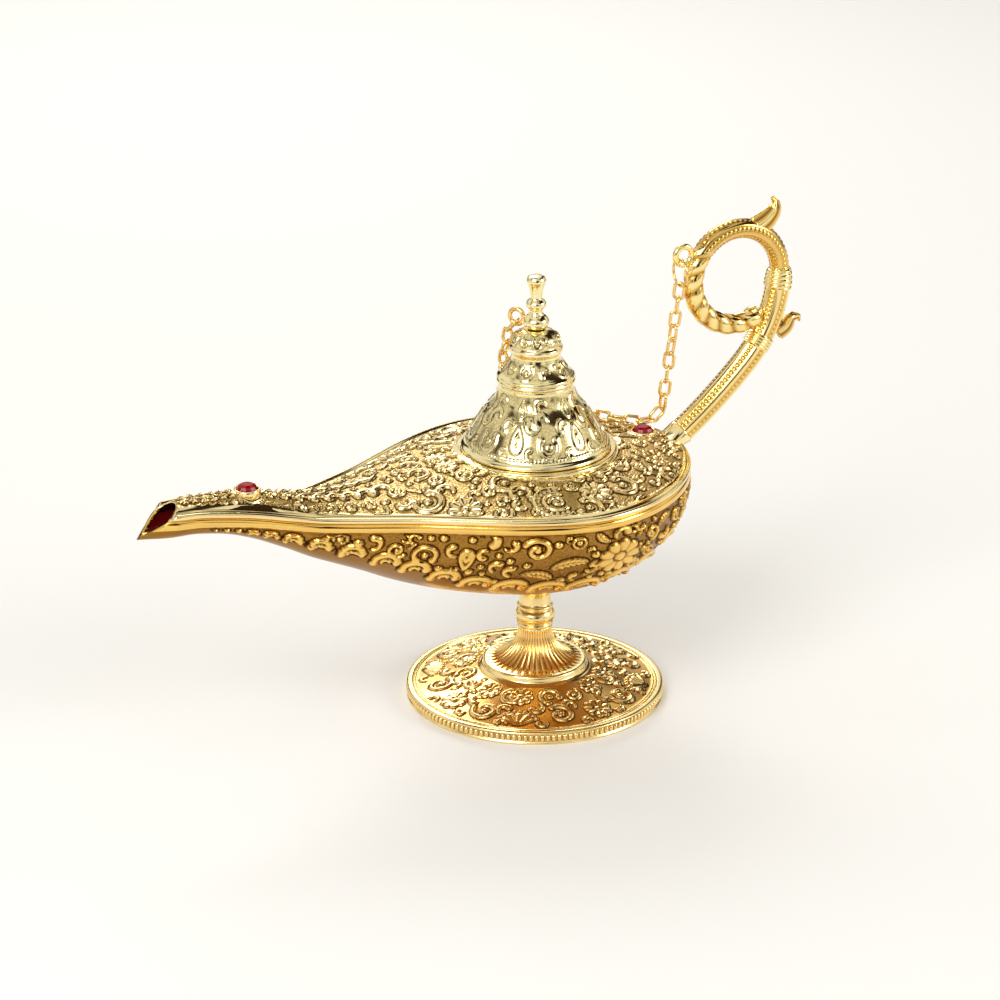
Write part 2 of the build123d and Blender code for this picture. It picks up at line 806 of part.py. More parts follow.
# Links that lie on the deck: straight in towards the lid, then round it on the far side. The first
# few swing with the hanging chain, and the rest turn about the point where they end
for number in range(straight_deck_links + turning_deck_links + orbit_deck_links):
    round_heading = math.degrees(math.atan2(point.Y, point.X)) + 90 + orbit_inward
    turned = min(max(number + 1 - straight_deck_links, 0), turning_deck_links) / turning_deck_links
    step = unit(180 + (round_heading - 180) * turned)
    following = step_towards(point, deck_lie(point.X + link_pitch * step[0], point.Y + link_pitch * step[1]))
    level = Vector(0, 0, 1).cross(following - point)
    facing = level if number % 2 == 0 else Vector(0, 0, 1)
    chain_link(f"deck_link_{number + 1}", point, following, facing)
    deck_along = (following - point).normalized()
    if number + 1 == carried_deck_links:
        deck_pivot = following
    point = following
deck_end = point

# Links that ride with the lid: from its eye down the back of the cone
slope_lie = lid_chain_lie * slope_lie_share
lid_foot = deck_end + deck_along * chain_gap
drape_foot_azimuth = math.degrees(math.atan2(lid_foot.Y, lid_foot.X))
flank = (cone_points[0][0] + cone_points[1][0]) / 2, (cone_points[0][1] + cone_points[1][1]) / 2
drape = (
    (lid_eye_centre.Z - lid_eye_radius, lid_eye_reach),
    (bulb_top_height - lid_wall, bulb_radius + lid_chain_lie),
    (shoulder_high, shoulder_radius + lid_chain_lie),
    (ring_top_height, waist_ring_radius + lid_chain_lie),
    (waist_height, waist_ring_radius + lid_chain_lie),
    (cone_points[2][1], cone_points[2][0] + slope_lie),
    (cone_points[1][1], cone_points[1][0] + slope_lie),
    (flank[1], flank[0] + lid_wall + slope_lie),
    (lip_top + lid_chain_lie / 2, cone_root_radius + slope_lie),
    (lid_foot.Z, math.hypot(lid_foot.X, lid_foot.Y)),
)


def drape_point(share):
    """A point of the lid chain's line, from the eye at 0 to the deck at 1."""
    height = drape[0][0] + (drape[-1][0] - drape[0][0]) * share
    azimuth = unit(lid_eye_azimuth + (drape_foot_azimuth - lid_eye_azimuth) * share)
    for above, below in zip(drape, drape[1:]):
        if below[0] <= height <= above[0]:
            across = (above[0] - height) / (above[0] - below[0])
            radius = above[1] + (below[1] - above[1]) * across
            return Vector(radius * azimuth[0], radius * azimuth[1], height)
    return Vector(drape[-1][1] * azimuth[0], drape[-1][1] * azimuth[1], drape[-1][0])


point = lid_eye_centre - Vector(0, 0, lid_eye_radius - lid_eye_wire_radius - link_clearance)
share = 0.0
for number in range(lid_chain_links):
    while share < 1 and (drape_point(share) - point).length < link_pitch:
        share += drape_step
    following = step_towards(point, drape_point(share))
    outward = Vector(point.X, point.Y, 0)
    sideways = outward.cross(Vector(0, 0, 1))
    chain_link(f"lid_link_{number + 1}", point, following, outward if number % 2 == 0 else sideways)
    point = following
print("chain foot", *chain_foot)
print("deck chain pivot", *deck_pivot)
print("deck chain end", *deck_end)
print("lid chain end", *point, "at share", share)
print("ring pivot", *ring_pivot)
print("gap between deck chain and lid chain", (point - deck_end).length)
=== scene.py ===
# %% [markdown]
# The lamp's frame comes from the imported CAD model. Every size below is in millimetres, and
# MM turns it to Blender's metres at the moment a mesh is filled.

# %% Frame and units
import math

import bmesh
import bpy
import numpy as np
from mathutils import Matrix, Vector


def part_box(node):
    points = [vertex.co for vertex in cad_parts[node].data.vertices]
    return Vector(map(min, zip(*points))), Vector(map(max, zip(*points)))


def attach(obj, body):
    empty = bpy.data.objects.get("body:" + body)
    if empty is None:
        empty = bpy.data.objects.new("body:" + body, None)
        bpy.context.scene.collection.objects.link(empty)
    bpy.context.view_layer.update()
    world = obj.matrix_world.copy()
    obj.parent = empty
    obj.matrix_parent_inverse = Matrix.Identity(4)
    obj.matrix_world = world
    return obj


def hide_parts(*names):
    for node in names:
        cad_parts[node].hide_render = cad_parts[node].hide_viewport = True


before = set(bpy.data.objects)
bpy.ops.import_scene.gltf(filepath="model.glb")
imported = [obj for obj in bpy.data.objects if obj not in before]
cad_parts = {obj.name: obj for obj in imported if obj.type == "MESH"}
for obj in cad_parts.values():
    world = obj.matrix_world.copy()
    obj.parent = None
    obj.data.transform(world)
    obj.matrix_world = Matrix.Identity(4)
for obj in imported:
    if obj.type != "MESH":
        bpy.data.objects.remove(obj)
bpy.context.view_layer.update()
MM = 0.001
FULL_TURN = 2 * math.pi

# %% [markdown]
# Three small helpers serve all the finishes: colours are written as sRGB hex values and turned
# to linear light, one function adds a node with its settings and links, and one starts a
# material with its shader.


# %% Material helpers
def linear(code):
    """Linear colour of an sRGB hex code."""
    colour = []
    for k in (1, 3, 5):
        share = int(code[k : k + 2], 16) / 255
        colour.append(share / 12.92 if share <= 0.04045 else ((share + 0.055) / 1.055) ** 2.4)
    return (*colour, 1.0)


def add_node(tree, kind, inputs=None, **settings):
    """A node with its settings. An input given as a socket is linked, another value is set."""
    made = tree.nodes.new(kind)
    for key, value in settings.items():
        setattr(made, key, value)
    for key, value in (inputs or {}).items():
        if isinstance(value, bpy.types.NodeSocket):
            tree.links.new(value, made.inputs[key])
        else:
            made.inputs[key].default_value = value
    return made


def new_material(name, **values):
    """A material with a Principled shader whose sockets take the given values."""
    material = bpy.data.materials.new(name)
    material.use_nodes = True
    shader = material.node_tree.nodes["Principled BSDF"]
    for key, value in values.items():
        shader.inputs[key.replace("_", " ")].default_value = value
    print("finish", name)
    return material, material.node_tree, shader


# %% [markdown]
# The body of the lamp is zinc, pressure cast in parts and plated with bright gold. The
# plating is brushed back on the high relief and is darker in the hollows: the dark line round a
# stroke is antiquing and painted shade at the stroke's foot. Two values painted on the mesh steer
# it: "relief" is 1 on the carving, a half on the ground and 0 in that dark line of painted shade,
# and "ground" is 1 where the casting is stippled between the scrolls. An image could paint this
# too, but values on the mesh follow the carving exactly.

# %% Gold plate over the cast relief
# The real stipple is finer than about 0.4 mm. It is drawn at 0.6 mm, or it would not show.
GRAIN_MM, GRAIN_DEPTH_MM = 0.6, 0.3
CLOUD_MM = 9


def gold_plate(name, high, low, dark, polish, dull, stipple):
    """Plated casting: polished strokes, a satin ground and a dark line of antiquing and painted
    shade round each stroke.
    """
    material, tree, shader = new_material(name, Metallic=1.0, Roughness=polish)
    relief = add_node(tree, "ShaderNodeAttribute", attribute_name="relief").outputs["Fac"]
    ground = add_node(tree, "ShaderNodeAttribute", attribute_name="ground").outputs["Fac"]
    place = add_node(tree, "ShaderNodeTexCoord").outputs["Object"]
    # the ramp's dark end is the line round each stroke: antiquing and painted shade at its foot
    antiquing_and_shade = add_node(tree, "ShaderNodeValToRGB", {"Fac": relief})
    ramp = antiquing_and_shade.color_ramp
    ramp.interpolation = "EASE"
    ramp.elements[0].color = linear(dark)
    ramp.elements[1].color = linear(high)
    ramp.elements.new(0.5).color = linear(low)

    # slow clouds of tone everywhere, grain where the ground is stippled, and gloss on strokes
    clouds = add_node(
        tree, "ShaderNodeTexNoise", {"Vector": place, "Scale": 1 / (CLOUD_MM * MM), "Detail": 3.0}
    ).outputs["Fac"]
    grain = add_node(
        tree, "ShaderNodeTexVoronoi", {"Vector": place, "Scale": 1 / (GRAIN_MM * MM)}, feature="F1"
    ).outputs["Distance"]
    spans = []
    for source, start, end, at_start, at_end in (
        (clouds, 0.3, 0.7, 0.93, 1.05),
        (grain, 0.1, 0.6, 1.1, 0.72),
        (relief, 0.5, 0.9, dull, polish),
    ):
        span = {"Value": source, "From Min": start, "From Max": end}
        span |= {"To Min": at_start, "To Max": at_end}
        spans.append(add_node(tree, "ShaderNodeMapRange", span).outputs["Result"])
    cloudy, speckled, rough = spans
    tone = add_node(
        tree, "ShaderNodeMix", {"Factor": ground, 2: cloudy, 3: speckled}, data_type="FLOAT"
    ).outputs[0]
    toned = add_node(
        tree, "ShaderNodeVectorMath", {0: antiquing_and_shade.outputs["Color"], 1: tone}, operation="MULTIPLY"
    )
    tree.links.new(toned.outputs[0], shader.inputs["Base Color"])
    tree.links.new(rough, shader.inputs["Roughness"])
    depth = add_node(tree, "ShaderNodeMath", {0: ground, 1: stipple}, operation="MULTIPLY")
    bump = add_node(
        tree,
        "ShaderNodeBump",
        {"Height": grain, "Strength": depth.outputs[0], "Distance": GRAIN_DEPTH_MM * MM},
    )
    tree.links.new(bump.outputs[0], shader.inputs["Normal"])
    return material


# name, stroke colour, ground colour, colour of the dark line (antiquing and painted shade),
# polished and dull roughness, strength of the stipple
PLATED = (
    ("gold_plate_antiqued_shade_painted_deck", "#FFE8AC", "#EAC67C", "#50300C", 0.12, 0.28, 0.7),
    # the hull's colours are darker than the deck's on the same plating: painted shade and a painted
    # dark reflection on the lower body
    ("gold_plate_antiqued_shade_painted_hull", "#F9CC6E", "#B8863A", "#452606", 0.12, 0.28, 0.7),
    ("gold_plate_cast_foot", "#FFE4A0", "#FFCC74", "#7A4A12", 0.2, 0.24, 0.0),
    ("gold_plate_cast_lid", "#FFEFB8", "#FFEBAC", "#A88A4C", 0.12, 0.15, 0.0),
    ("gold_plate_cast_handle", "#FFE49C", "#DDB058", "#70480F", 0.1, 0.18, 0.0),
)
deck_gold, shaded_hull_gold, foot_gold, lid_gold, handle_gold = (gold_plate(*row) for row in PLATED)

# %% [markdown]
# The chain is bright drawn wire and the screws are zinc-plated steel. On both, drawing and
# handling leave small spots that are duller than the rest, so a noise steers the roughness.
# The gems are moulded red glass and the nozzle is lined with fired red enamel, both plain.


# %% Wire, steel, glass and enamel
def spotted_metal(name, colour, roughness, spot_mm, smoothest, roughest):
    """Bare metal whose roughness varies in small spots."""
    material, tree, shader = new_material(
        name, Metallic=1.0, Roughness=roughness, Base_Color=linear(colour)
    )
    place = add_node(tree, "ShaderNodeTexCoord").outputs["Object"]
    spots = add_node(tree, "ShaderNodeTexNoise", {"Vector": place, "Scale": 1 / (spot_mm * MM)})
    rough = add_node(
        tree,
        "ShaderNodeMapRange",
        {"Value": spots.outputs["Fac"], "To Min": smoothest, "To Max": roughest},
    )
    tree.links.new(rough.outputs["Result"], shader.inputs["Roughness"])
    return material


wire_gold = spotted_metal("gold_plated_drawn_wire", "#F3D08A", 0.2, 1.5, 0.14, 0.3)
steel = spotted_metal("zinc_plated_screw_steel", "#B9B9B4", 0.3, 0.8, 0.22, 0.42)
ruby_glass, _, _ = new_material(
    "moulded_ruby_glass",
    Base_Color=linear("#8C0008"),
    Roughness=0.06,
    IOR=1.52,
    Specular_IOR_Level=0.3,
)
red_enamel, _, _ = new_material(
    "fired_red_enamel", Base_Color=linear("#5E0A08"), Roughness=0.14, Coat_Weight=0.8
)

# %% [markdown]
# A carved surface starts as Blender's own grid. Its corners are then moved to a formed sheet of
# places, so the carving can be worked out for all corners at once. The same sheet carries the
# "relief" and "ground" values. Where a sheet closes on itself, its doubled corners are merged.


# %% Formed sheets
def rows_of(data, key):
    """A vector value of every corner or face of a mesh, as an array of rows."""
    values = np.empty(len(data) * 3)
    data.foreach_get(key, values)
    return values.reshape(-1, 3)


def formed(name, sheets, doubles_mm=0.002):
    """A bmesh from one or more sheets of places in mm, each with its relief and ground."""
    whole = bmesh.new()
    for places, relief, ground in sheets:
        rows, columns = places.shape[:2]
        flat = bmesh.new()
        bmesh.ops.create_grid(flat, x_segments=columns - 1, y_segments=rows - 1, size=1.0)
        mesh = bpy.data.meshes.new(name)
        flat.to_mesh(mesh)
        flat.free()
        spots = rows_of(mesh.vertices, "co")
        column = np.rint((spots[:, 0] + 1) / 2 * (columns - 1)).astype(int)
        row = np.rint((spots[:, 1] + 1) / 2 * (rows - 1)).astype(int)
        mesh.vertices.foreach_set("co", (places[row, column] * MM).ravel())
        for key, values in (("relief", relief), ("ground", ground)):
            layer = mesh.attributes.new(key, "FLOAT", "POINT")
            layer.data.foreach_set("value", values[row, column].ravel())
        whole.from_mesh(mesh)
        bpy.data.meshes.remove(mesh)
    bmesh.ops.remove_doubles(whole, verts=whole.verts, dist=doubles_mm * MM)
    bmesh.ops.dissolve_degenerate(whole, edges=whole.edges, dist=0.0005 * MM)
    return whole


def plain_sheet(places):
    """A sheet that is polished all over."""
    return places, np.ones(places.shape[:2]), np.zeros(places.shape[:2])


def outward(places):
    """Unit normals of a formed sheet, from its neighbours along rows and columns."""
    normals = np.cross(np.gradient(places, axis=1), np.gradient(places, axis=0))
    length = np.linalg.norm(normals, axis=2, keepdims=True)
    return normals / np.maximum(length, 1e-9)


def blended(low, high, values):
    """0 below low, 1 above high, smooth between."""
    share = np.clip((values - low) / (high - low), 0, 1)
    return share * share * (3 - 2 * share)


def window(values, rise, fall):
    """1 between two soft steps, each given by its start and end, and 0 outside them."""
    return blended(*rise, values) * (1 - blended(*fall, values))


def antiquing_and_painted_shade(height, strength=1.0):
    """Tone of the plating: 1 on a stroke, a half on the ground, less in the line round it, which is
    antiquing and painted shade.
    """
    near = height
    for axis in (0, 1):
        near = np.maximum.reduce([near, np.roll(near, 1, axis), np.roll(near, -1, axis)])
    # the line round each stroke is darkened as painted shade
    line = np.clip(near / 0.3, 0, 1) * (1 - blended(0.05, 0.5, height))
    return 0.5 + 0.5 * blended(0.2, 0.8, height) - 0.5 * strength * line


print("a step is half up at:", float(blended(0, 1, 0.5)))

# %% [markdown]
# Every bmesh ends as a mesh with its faces outwards. A finished piece then rides on one body of
# the mechanism and stands for the CAD nodes that it replaces.


# %% From bmesh to piece
def as_mesh(name, shape):
    """Turns a bmesh into a mesh whose faces point outwards, and frees it."""
    bmesh.ops.recalc_face_normals(shape, faces=shape.faces)
    mesh = bpy.data.meshes.new(name)
    shape.to_mesh(mesh)
    shape.free()
    return mesh


def join_into(whole, part):
    """Adds one bmesh to another."""
    mesh = as_mesh("joined", part)
    whole.from_mesh(mesh)
    bpy.data.meshes.remove(mesh)


def polished(shape):
    """Paints a plain part of the casting with the tone of its polished strokes."""
    layer = shape.verts.layers.float.new("relief")
    for corner in shape.verts:
        corner[layer] = 1.0
    return shape


def finish_piece(name, shape, material, body, nodes, smooth=True):
    """Turns a bmesh into a piece that rides on a body and stands for the given CAD nodes."""
    mesh = as_mesh(name, shape)
    if smooth:
        mesh.polygons.foreach_set("use_smooth", [True] * len(mesh.polygons))
    mesh.materials.append(material)
    piece = bpy.data.objects.new(name, mesh)
    bpy.context.scene.collection.objects.link(piece)
    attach(piece, body)
    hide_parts(*nodes)
    print(name, "triangles:", sum(len(p.vertices) - 2 for p in mesh.polygons))
    return piece


print("CAD nodes to dress:", len(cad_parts))

# %% [markdown]
# The carving is drawn like a jeweller's: a few kinds of stroke and stamp, laid at their places.
# A ridge is a rounded stroke that tapers along a path, and a boss is a bead. Each stamp gives a
# height from 0 to 1 over a flat pattern in mm, from its middle and its size.


# %% Strokes and scrolls
def spiral(radius, start, turn, shrink, steps=22):
    """Points of an arc or spiral about 0, from its start angle, in degrees."""
    shares = np.linspace(0, 1, steps)
    angles = np.radians(start + turn * shares)
    reach = radius * (1 + (shrink - 1) * shares)
    return np.stack([reach * np.cos(angles), reach * np.sin(angles)], axis=1)


def ridge(a, b, path, wide, fine=None):
    """A rounded stroke along a path that may taper from its wide start to its fine end."""
    height = np.zeros_like(a)
    widths = np.linspace(wide, wide if fine is None else fine, len(path) - 1)
    for start, end, width in zip(path, path[1:], widths):
        run = end - start
        reach = max(float(run @ run), 1e-9)
        share = np.clip(((a - start[0]) * run[0] + (b - start[1]) * run[1]) / reach, 0, 1)
        off = np.hypot(a - start[0] - share * run[0], b - start[1] - share * run[1])
        height = np.maximum(height, np.clip(1 - (off / width) ** 2, 0, 1))
    return height


def boss(a, b, size):
    """A round bead."""
    return np.clip(1 - (a**2 + b**2) / size**2, 0, 1) ** 0.7


def ring_boss(a, b, size):
    """A bead inside a raised ring."""
    ring = ridge(a, b, spiral(0.8 * size, 0, 360, 1), 0.2 * size)
    return np.maximum(boss(a, b, 0.45 * size), ring)


def scroll(a, b, size):
    """A running scroll that winds in to a bead."""
    coil = ridge(a, b, spiral(size * 0.84, 200, 430, 0.3, 34), 0.22 * size, 0.13 * size)
    return np.maximum(coil, boss(a, b, 0.22 * size))


def crescent(a, b, size):
    """A C-scroll, open to one side, with a bead in its arms."""
    arc = ridge(a, b, spiral(0.8 * size, 50, 260, 1), 0.22 * size)
    tip = boss(a - 0.5 * size, b - 0.62 * size, 0.32 * size)
    tail = boss(a - 0.5 * size, b + 0.62 * size, 0.32 * size)
    return np.maximum.reduce([arc, tip, tail, 0.9 * boss(a, b, 0.28 * size)])


def beaded_crescent(a, b, size):
    """A wide C band edged by two lines, with a row of beads between them."""
    height = ridge(a, b, spiral(size, 70, 230, 1, 30), 0.12 * size)
    height = np.maximum(height, ridge(a, b, spiral(0.58 * size, 60, 250, 1, 30), 0.1 * size))
    for angle in np.radians(np.linspace(78, 292, 13)):
        bead_a, bead_b = 0.8 * size * np.cos(angle), 0.8 * size * np.sin(angle)
        height = np.maximum(height, 0.8 * boss(a - bead_a, b - bead_b, 0.12 * size))
    return np.maximum(height, scroll(a, b, 0.42 * size))


def comma(a, b, size):
    """A tapering leaf stroke that curls over."""
    return ridge(a + 0.2 * size, b, spiral(0.66 * size, -80, 190, 0.75), 0.14 * size, 0.42 * size)


print("height on a bead:", float(boss(np.zeros(1), np.zeros(1), 1.0)[0]))

# %% [markdown]
# The leafy stamps are made of the same strokes: a daisy with hollowed petals, a drop with a
# double rim, a leaf with a midrib, a shell fan, a curling frond and the scallop of the lower
# edge. They could be modelled one by one, but a formula keeps them crisp at every size.


# %% Flowers, leaves and shells
def daisy(a, b, size, petals=9):
    """An open flower: hollowed petals with raised tips round a beaded core."""
    reach = np.hypot(a, b) / size
    lobe = np.abs(np.cos(np.arctan2(b, a) * petals / 2))
    edge = 0.78 + 0.22 * lobe**0.6
    rim = np.clip((edge - reach) / 0.12, 0, 1)
    petal = rim * (0.35 + 0.6 * lobe**0.7 * np.clip(reach / 0.8, 0, 1))
    core = 1.05 * np.sqrt(np.clip(1 - (reach / 0.27) ** 2, 0, 1))
    return np.maximum(petal * np.clip((reach - 0.28) / 0.06, 0, 1), core)


def teardrop(a, b, size):
    """A drop with a raised double rim and a hollow heart."""
    turn = np.linspace(0, FULL_TURN, 30)
    half_width = 0.55 * size * np.sin(turn) * np.sin(turn / 2)
    outline = np.stack([half_width, size * np.cos(turn) * 0.9], axis=1)
    rim = ridge(a, b, outline, 0.19 * size)
    return np.maximum(rim, ridge(a, b, 0.42 * outline - np.array([0, 0.25 * size]), 0.15 * size))


def leaf(a, b, size):
    """A bent leaf with a midrib and side cuts."""
    bend = b - 0.25 * size * (a / size) ** 2
    across = np.abs(bend) / (0.36 * size * np.clip(1 - (a / size) ** 2, 0, 1) ** 0.6 + 1e-6)
    body = np.clip(1 - across**2, 0, 1) ** 0.5
    cuts = 0.75 + 0.25 * np.cos((a / size * 7 + np.abs(bend) / size * 6) * math.pi)
    rib = np.where(np.abs(bend) < 0.06 * size, 0.55, 1.0)
    return np.where(np.abs(a) < size, body * cuts * rib, 0)


def fan(a, b, size):
    """A shell fan: ribs that spread from its foot to a beaded edge."""
    reach = np.hypot(a, b + 0.7 * size) / (1.5 * size)
    angle = np.arctan2(a, b + 0.7 * size)
    inside = np.clip((1.05 - np.abs(angle)) / 0.08, 0, 1)
    ribs = 0.25 + 0.65 * np.abs(np.cos(angle * 6))
    body = ribs * np.clip((0.86 - reach) / 0.05, 0, 1) * np.clip(reach / 0.25, 0, 1)
    height = body * inside
    for spot in np.linspace(-0.98, 0.98, 9):
        bead_a, bead_b = a - 1.38 * size * np.sin(spot), b + 0.7 * size - 1.38 * size * np.cos(spot)
        height = np.maximum(height, boss(bead_a, bead_b, 0.15 * size))
    return height


def acanthus(a, b, size):
    """A curling frond: a rib that winds to a bead, with curved leaves along its outer side."""
    spine = spiral(0.5 * size, 200, -240, 0.7, 26)
    height = ridge(a, b, spine, 0.17 * size, 0.12 * size)
    for point in spine[1:22:5]:
        out = point / max(float(np.hypot(*point)), 1e-9)
        side = np.array([out[1], -out[0]])
        reaches = ((0.0, 0.0), (0.22, 0.04), (0.4, 0.16), (0.5, 0.34))
        blade = np.array([point + size * (far * out + aside * side) for far, aside in reaches])
        height = np.maximum(height, 0.9 * ridge(a, b, blade, 0.13 * size, 0.09 * size))
    return np.maximum(height, boss(a - spine[-1][0], b - spine[-1][1], 0.2 * size))


def scallop(a, b, size):
    """A hanging shell lobe: a raised rim round a beaded heart."""
    rim = ridge(a, b, spiral(0.8 * size, 0, 180, 1, 24), 0.3 * size)
    heart = ridge(a, b, spiral(0.3 * size, 20, 140, 0.9, 14), 0.2 * size)
    tips = np.maximum(boss(a - 0.8 * size, b, 0.36 * size), boss(a + 0.8 * size, b, 0.36 * size))
    return np.maximum.reduce([rim, 0.8 * heart, tips])


STAMPS = {
    "boss": boss,
    "ring": ring_boss,
    "daisy": daisy,
    "scroll": scroll,
    "crescent": crescent,
    "beaded": beaded_crescent,
    "comma": comma,
    "drop": teardrop,
    "leaf": leaf,
    "fan": fan,
    "scallop": scallop,
    "acanthus": acanthus,
}
print("stamps:", ", ".join(STAMPS))

# %% [markdown]
# A carved field is a list of rows: a stamp, its place, its size, its turn in degrees and its
# hand, which is -1 for a mirrored stamp. The large motifs are placed one by one. What they leave
# free is filled by rule, with a fixed seed, so that every run gives the same lamp.

# %% Laying the stamps
LARGE_FILL = ("acanthus", "scroll", "comma", "crescent", "leaf")
SMALL_FILL = ("boss", "comma", "boss")
SMALL_UP_TO = 2.4


def press(height, across, up, kind, size, turn, hand):
    """Presses a stamp into a field of heights, with across and up measured from its place."""
    near = (np.abs(across) < 2.2 * size) & (np.abs(up) < 2.2 * size)
    if not near.any():
        return
    cos, sin = math.cos(math.radians(turn)), math.sin(math.radians(turn))
    da, db = across[near], up[near]
    stamp = STAMPS[kind](hand * (da * cos + db * sin), -da * sin + db * cos, size)
    height[near] = np.maximum(height[near], stamp)


def carve(across, up, rows):
    """Height from 0 to 1 of all stamps over a flat pattern."""
    height = np.zeros_like(across)
    for kind, place_a, place_b, size, turn, hand in rows:
        press(height, across - place_a, up - place_b, kind, size, turn, hand)
    return height


def carve_turned(azimuth, radius, up, rows):
    """Height of all stamps on a turned surface, where the first place is an azimuth in degrees."""
    height = np.zeros_like(azimuth)
    for kind, place, level, size, turn, hand in rows:
        swing = (azimuth - math.radians(place) + math.pi) % FULL_TURN - math.pi
        press(height, swing * radius, up - level, kind, size, turn, hand)
    return height


def flat_gap(a, b, other_a, other_b):
    """Distance between two places of a flat pattern."""
    return math.hypot(a - other_a, b - other_b)


def turned_gap(place, level, other, other_level):
    """Distance between two places of a disc, given as azimuth and radius."""
    swing = math.radians((place - other + 180) % 360 - 180) * level
    return math.hypot(swing, level - other_level)


def fillers(rows, inside, count, sizes, seed, gap=flat_gap, spacing=(0.88, 0.74)):
    """Adds small motifs at the places that the stamps so far leave free."""
    draw = np.random.default_rng(seed)
    taken = [row[1:4] for row in rows]
    added = []
    for _ in range(count):
        a, b = inside(draw.random(), draw.random())
        size = sizes[0] + (sizes[1] - sizes[0]) * draw.random()
        kinds = LARGE_FILL if size > SMALL_UP_TO else SMALL_FILL
        kind = kinds[int(draw.random() * len(kinds))]
        turn, hand = 360 * draw.random(), 1 if draw.random() < 0.5 else -1
        if all(gap(a, b, ta, tb) > spacing[0] * ts + spacing[1] * size for ta, tb, ts in taken):
            added.append((kind, a, b, size * (0.6 if kind == "boss" else 1.0), turn, hand))
            taken.append((a, b, size))
    return rows + added


print("filling motifs:", len(set(LARGE_FILL + SMALL_FILL)))

# %% [markdown]
# The hull repeats the CAD's own sections: half width, rim lift, crown and keel at stations along
# X. The CAD joins them with straight rulings, and here a smooth curve runs through the same
# stations, so that the gold reflects without facets.

# %% Hull stations
REAR_REACH, SPOUT_REACH, HALF_WIDTH = 49.0, 128.5, 46.5
RIM, BOWL_DEPTH, DECK_RISE, SPOUT_LIFT = 73.0, 35.0, 8.5, 7.0
DECK_BAND, BOWL_BAND, WALL = 1.8, 3.0, 1.6
ROUNDNESS = 1.8
# shares of the reach, half width, rim lift, crown and keel, from the lid towards the nozzle
SPOUT_SHARES = (
    (0.090, 0.960, 0.0, 1.013, 0.985),
    (0.195, 0.839, 0.0, 1.000, 0.923),
    (0.296, 0.677, 0.0, 0.881, 0.834),
    (0.389, 0.520, 0.0, 0.692, 0.714),
    (0.482, 0.391, 0.0, 0.552, 0.557),
    (0.576, 0.273, 0.03, 0.659, 0.414),
    (0.654, 0.215, 0.255, 0.716, 0.309),
    (0.739, 0.185, 0.600, 0.704, 0.229),
    (0.817, 0.172, 0.855, 0.576, 0.189),
    (0.887, 0.159, 1.0, 0.469, 0.186),
    (0.934, 0.133, 1.0, 0.432, 0.189),
    (1.000, 0.026, 0.930, 0.329, 0.160),
)


def smooth_curve(xs, ys, at):
    """A curve through given points with slopes that never overshoot them."""
    gaps = np.diff(xs)
    rises = np.diff(ys) / gaps
    slopes = np.zeros_like(ys)
    slopes[0], slopes[-1] = rises[0], rises[-1]
    same = rises[:-1] * rises[1:] > 0
    mean = (gaps[1:] * rises[1:] + gaps[:-1] * rises[:-1]) / (gaps[1:] + gaps[:-1])
    cap = 3 * np.minimum(np.abs(rises[:-1]), np.abs(rises[1:]))
    slopes[1:-1] = np.where(same, np.sign(mean) * np.minimum(np.abs(mean), cap), 0)
    spot = np.clip(np.searchsorted(xs, at) - 1, 0, len(gaps) - 1)
    share = np.clip((at - xs[spot]) / gaps[spot], 0, None)
    square, cube = share**2, share**3
    return (
        (2 * cube - 3 * square + 1) * ys[spot]
        + (cube - 2 * square + share) * gaps[spot] * slopes[spot]
        + (-2 * cube + 3 * square) * ys[spot + 1]
        + (cube - square) * gaps[spot] * slopes[spot + 1]
    )


def rear_sizes(share):
    """Half width, lift, crown and keel behind the lid's axis, for an array of shares."""
    width = HALF_WIDTH * np.clip(1 - share**ROUNDNESS, 0, 1) ** (1 / ROUNDNESS)
    crown = DECK_BAND + (DECK_RISE - DECK_BAND) * np.clip(1 - share**3, 0, 1) ** 0.8
    keel = BOWL_BAND + (BOWL_DEPTH - BOWL_BAND) * np.sqrt(np.clip(1 - share**2, 0, 1))
    return width, 0 * share, crown, keel


def hull_sizes(x):
    """The four sizes at each X of an array, smooth from nozzle to rear."""
    full = (-SPOUT_REACH, HALF_WIDTH, SPOUT_LIFT, DECK_RISE, BOWL_DEPTH)
    table = [[size * share for size, share in zip(full, row)] for row in SPOUT_SHARES[::-1]]
    for share in (0.0, 0.08):
        values = [float(v) for v in rear_sizes(np.array(share))]
        table.append([REAR_REACH * share, *values])
    table = np.array(table)
    front = [smooth_curve(table[:, 0], table[:, k], np.minimum(x, 0)) for k in range(1, 5)]
    rear = rear_sizes(np.clip(x / REAR_REACH, 0, 1))
    return [np.where(x > 0, back, face) for back, face in zip(rear, front)]


def hull_xs(spout_steps, front_steps, rear_steps):
    """X of every row: coarse on the spout, fine by the lid, and closing up as the rear turns."""
    spout = np.linspace(-SPOUT_REACH - 1.0, -SPOUT_REACH / 2, spout_steps)
    front = np.linspace(-SPOUT_REACH / 2, 0, front_steps + 1)[1:]
    rear = REAR_REACH * np.sin(np.linspace(0, math.pi / 2, rear_steps + 1)[1:])
    return np.concatenate([spout, front, rear])


print("widest half section:", round(float(hull_sizes(np.array([0.0]))[0][0]), 1))

# %% [markdown]
# Both halves of the hull are rings of places at every X: the outside with its round bead, then
# the inner wall back again. Rings that follow each other close to a hollow casting. At the rear
# the rings shrink to nothing and merge. Box modelling with a Solidify would also do, but rings
# keep the rim's fine beads even from nozzle to rear.

# %% Deck and bowl sections
DECK_COLUMNS = 232
FULL_BEAD_WIDTH = 9.0
BOWL_BEAD = 1.2


def bead_points(radius_in, radius_up, count):
    """Inset and height of a half-round bead, from its foot to its top."""
    turn = np.linspace(0, math.pi, count)
    return radius_in * (1 - np.sin(turn)), radius_up * (1 - np.cos(turn))


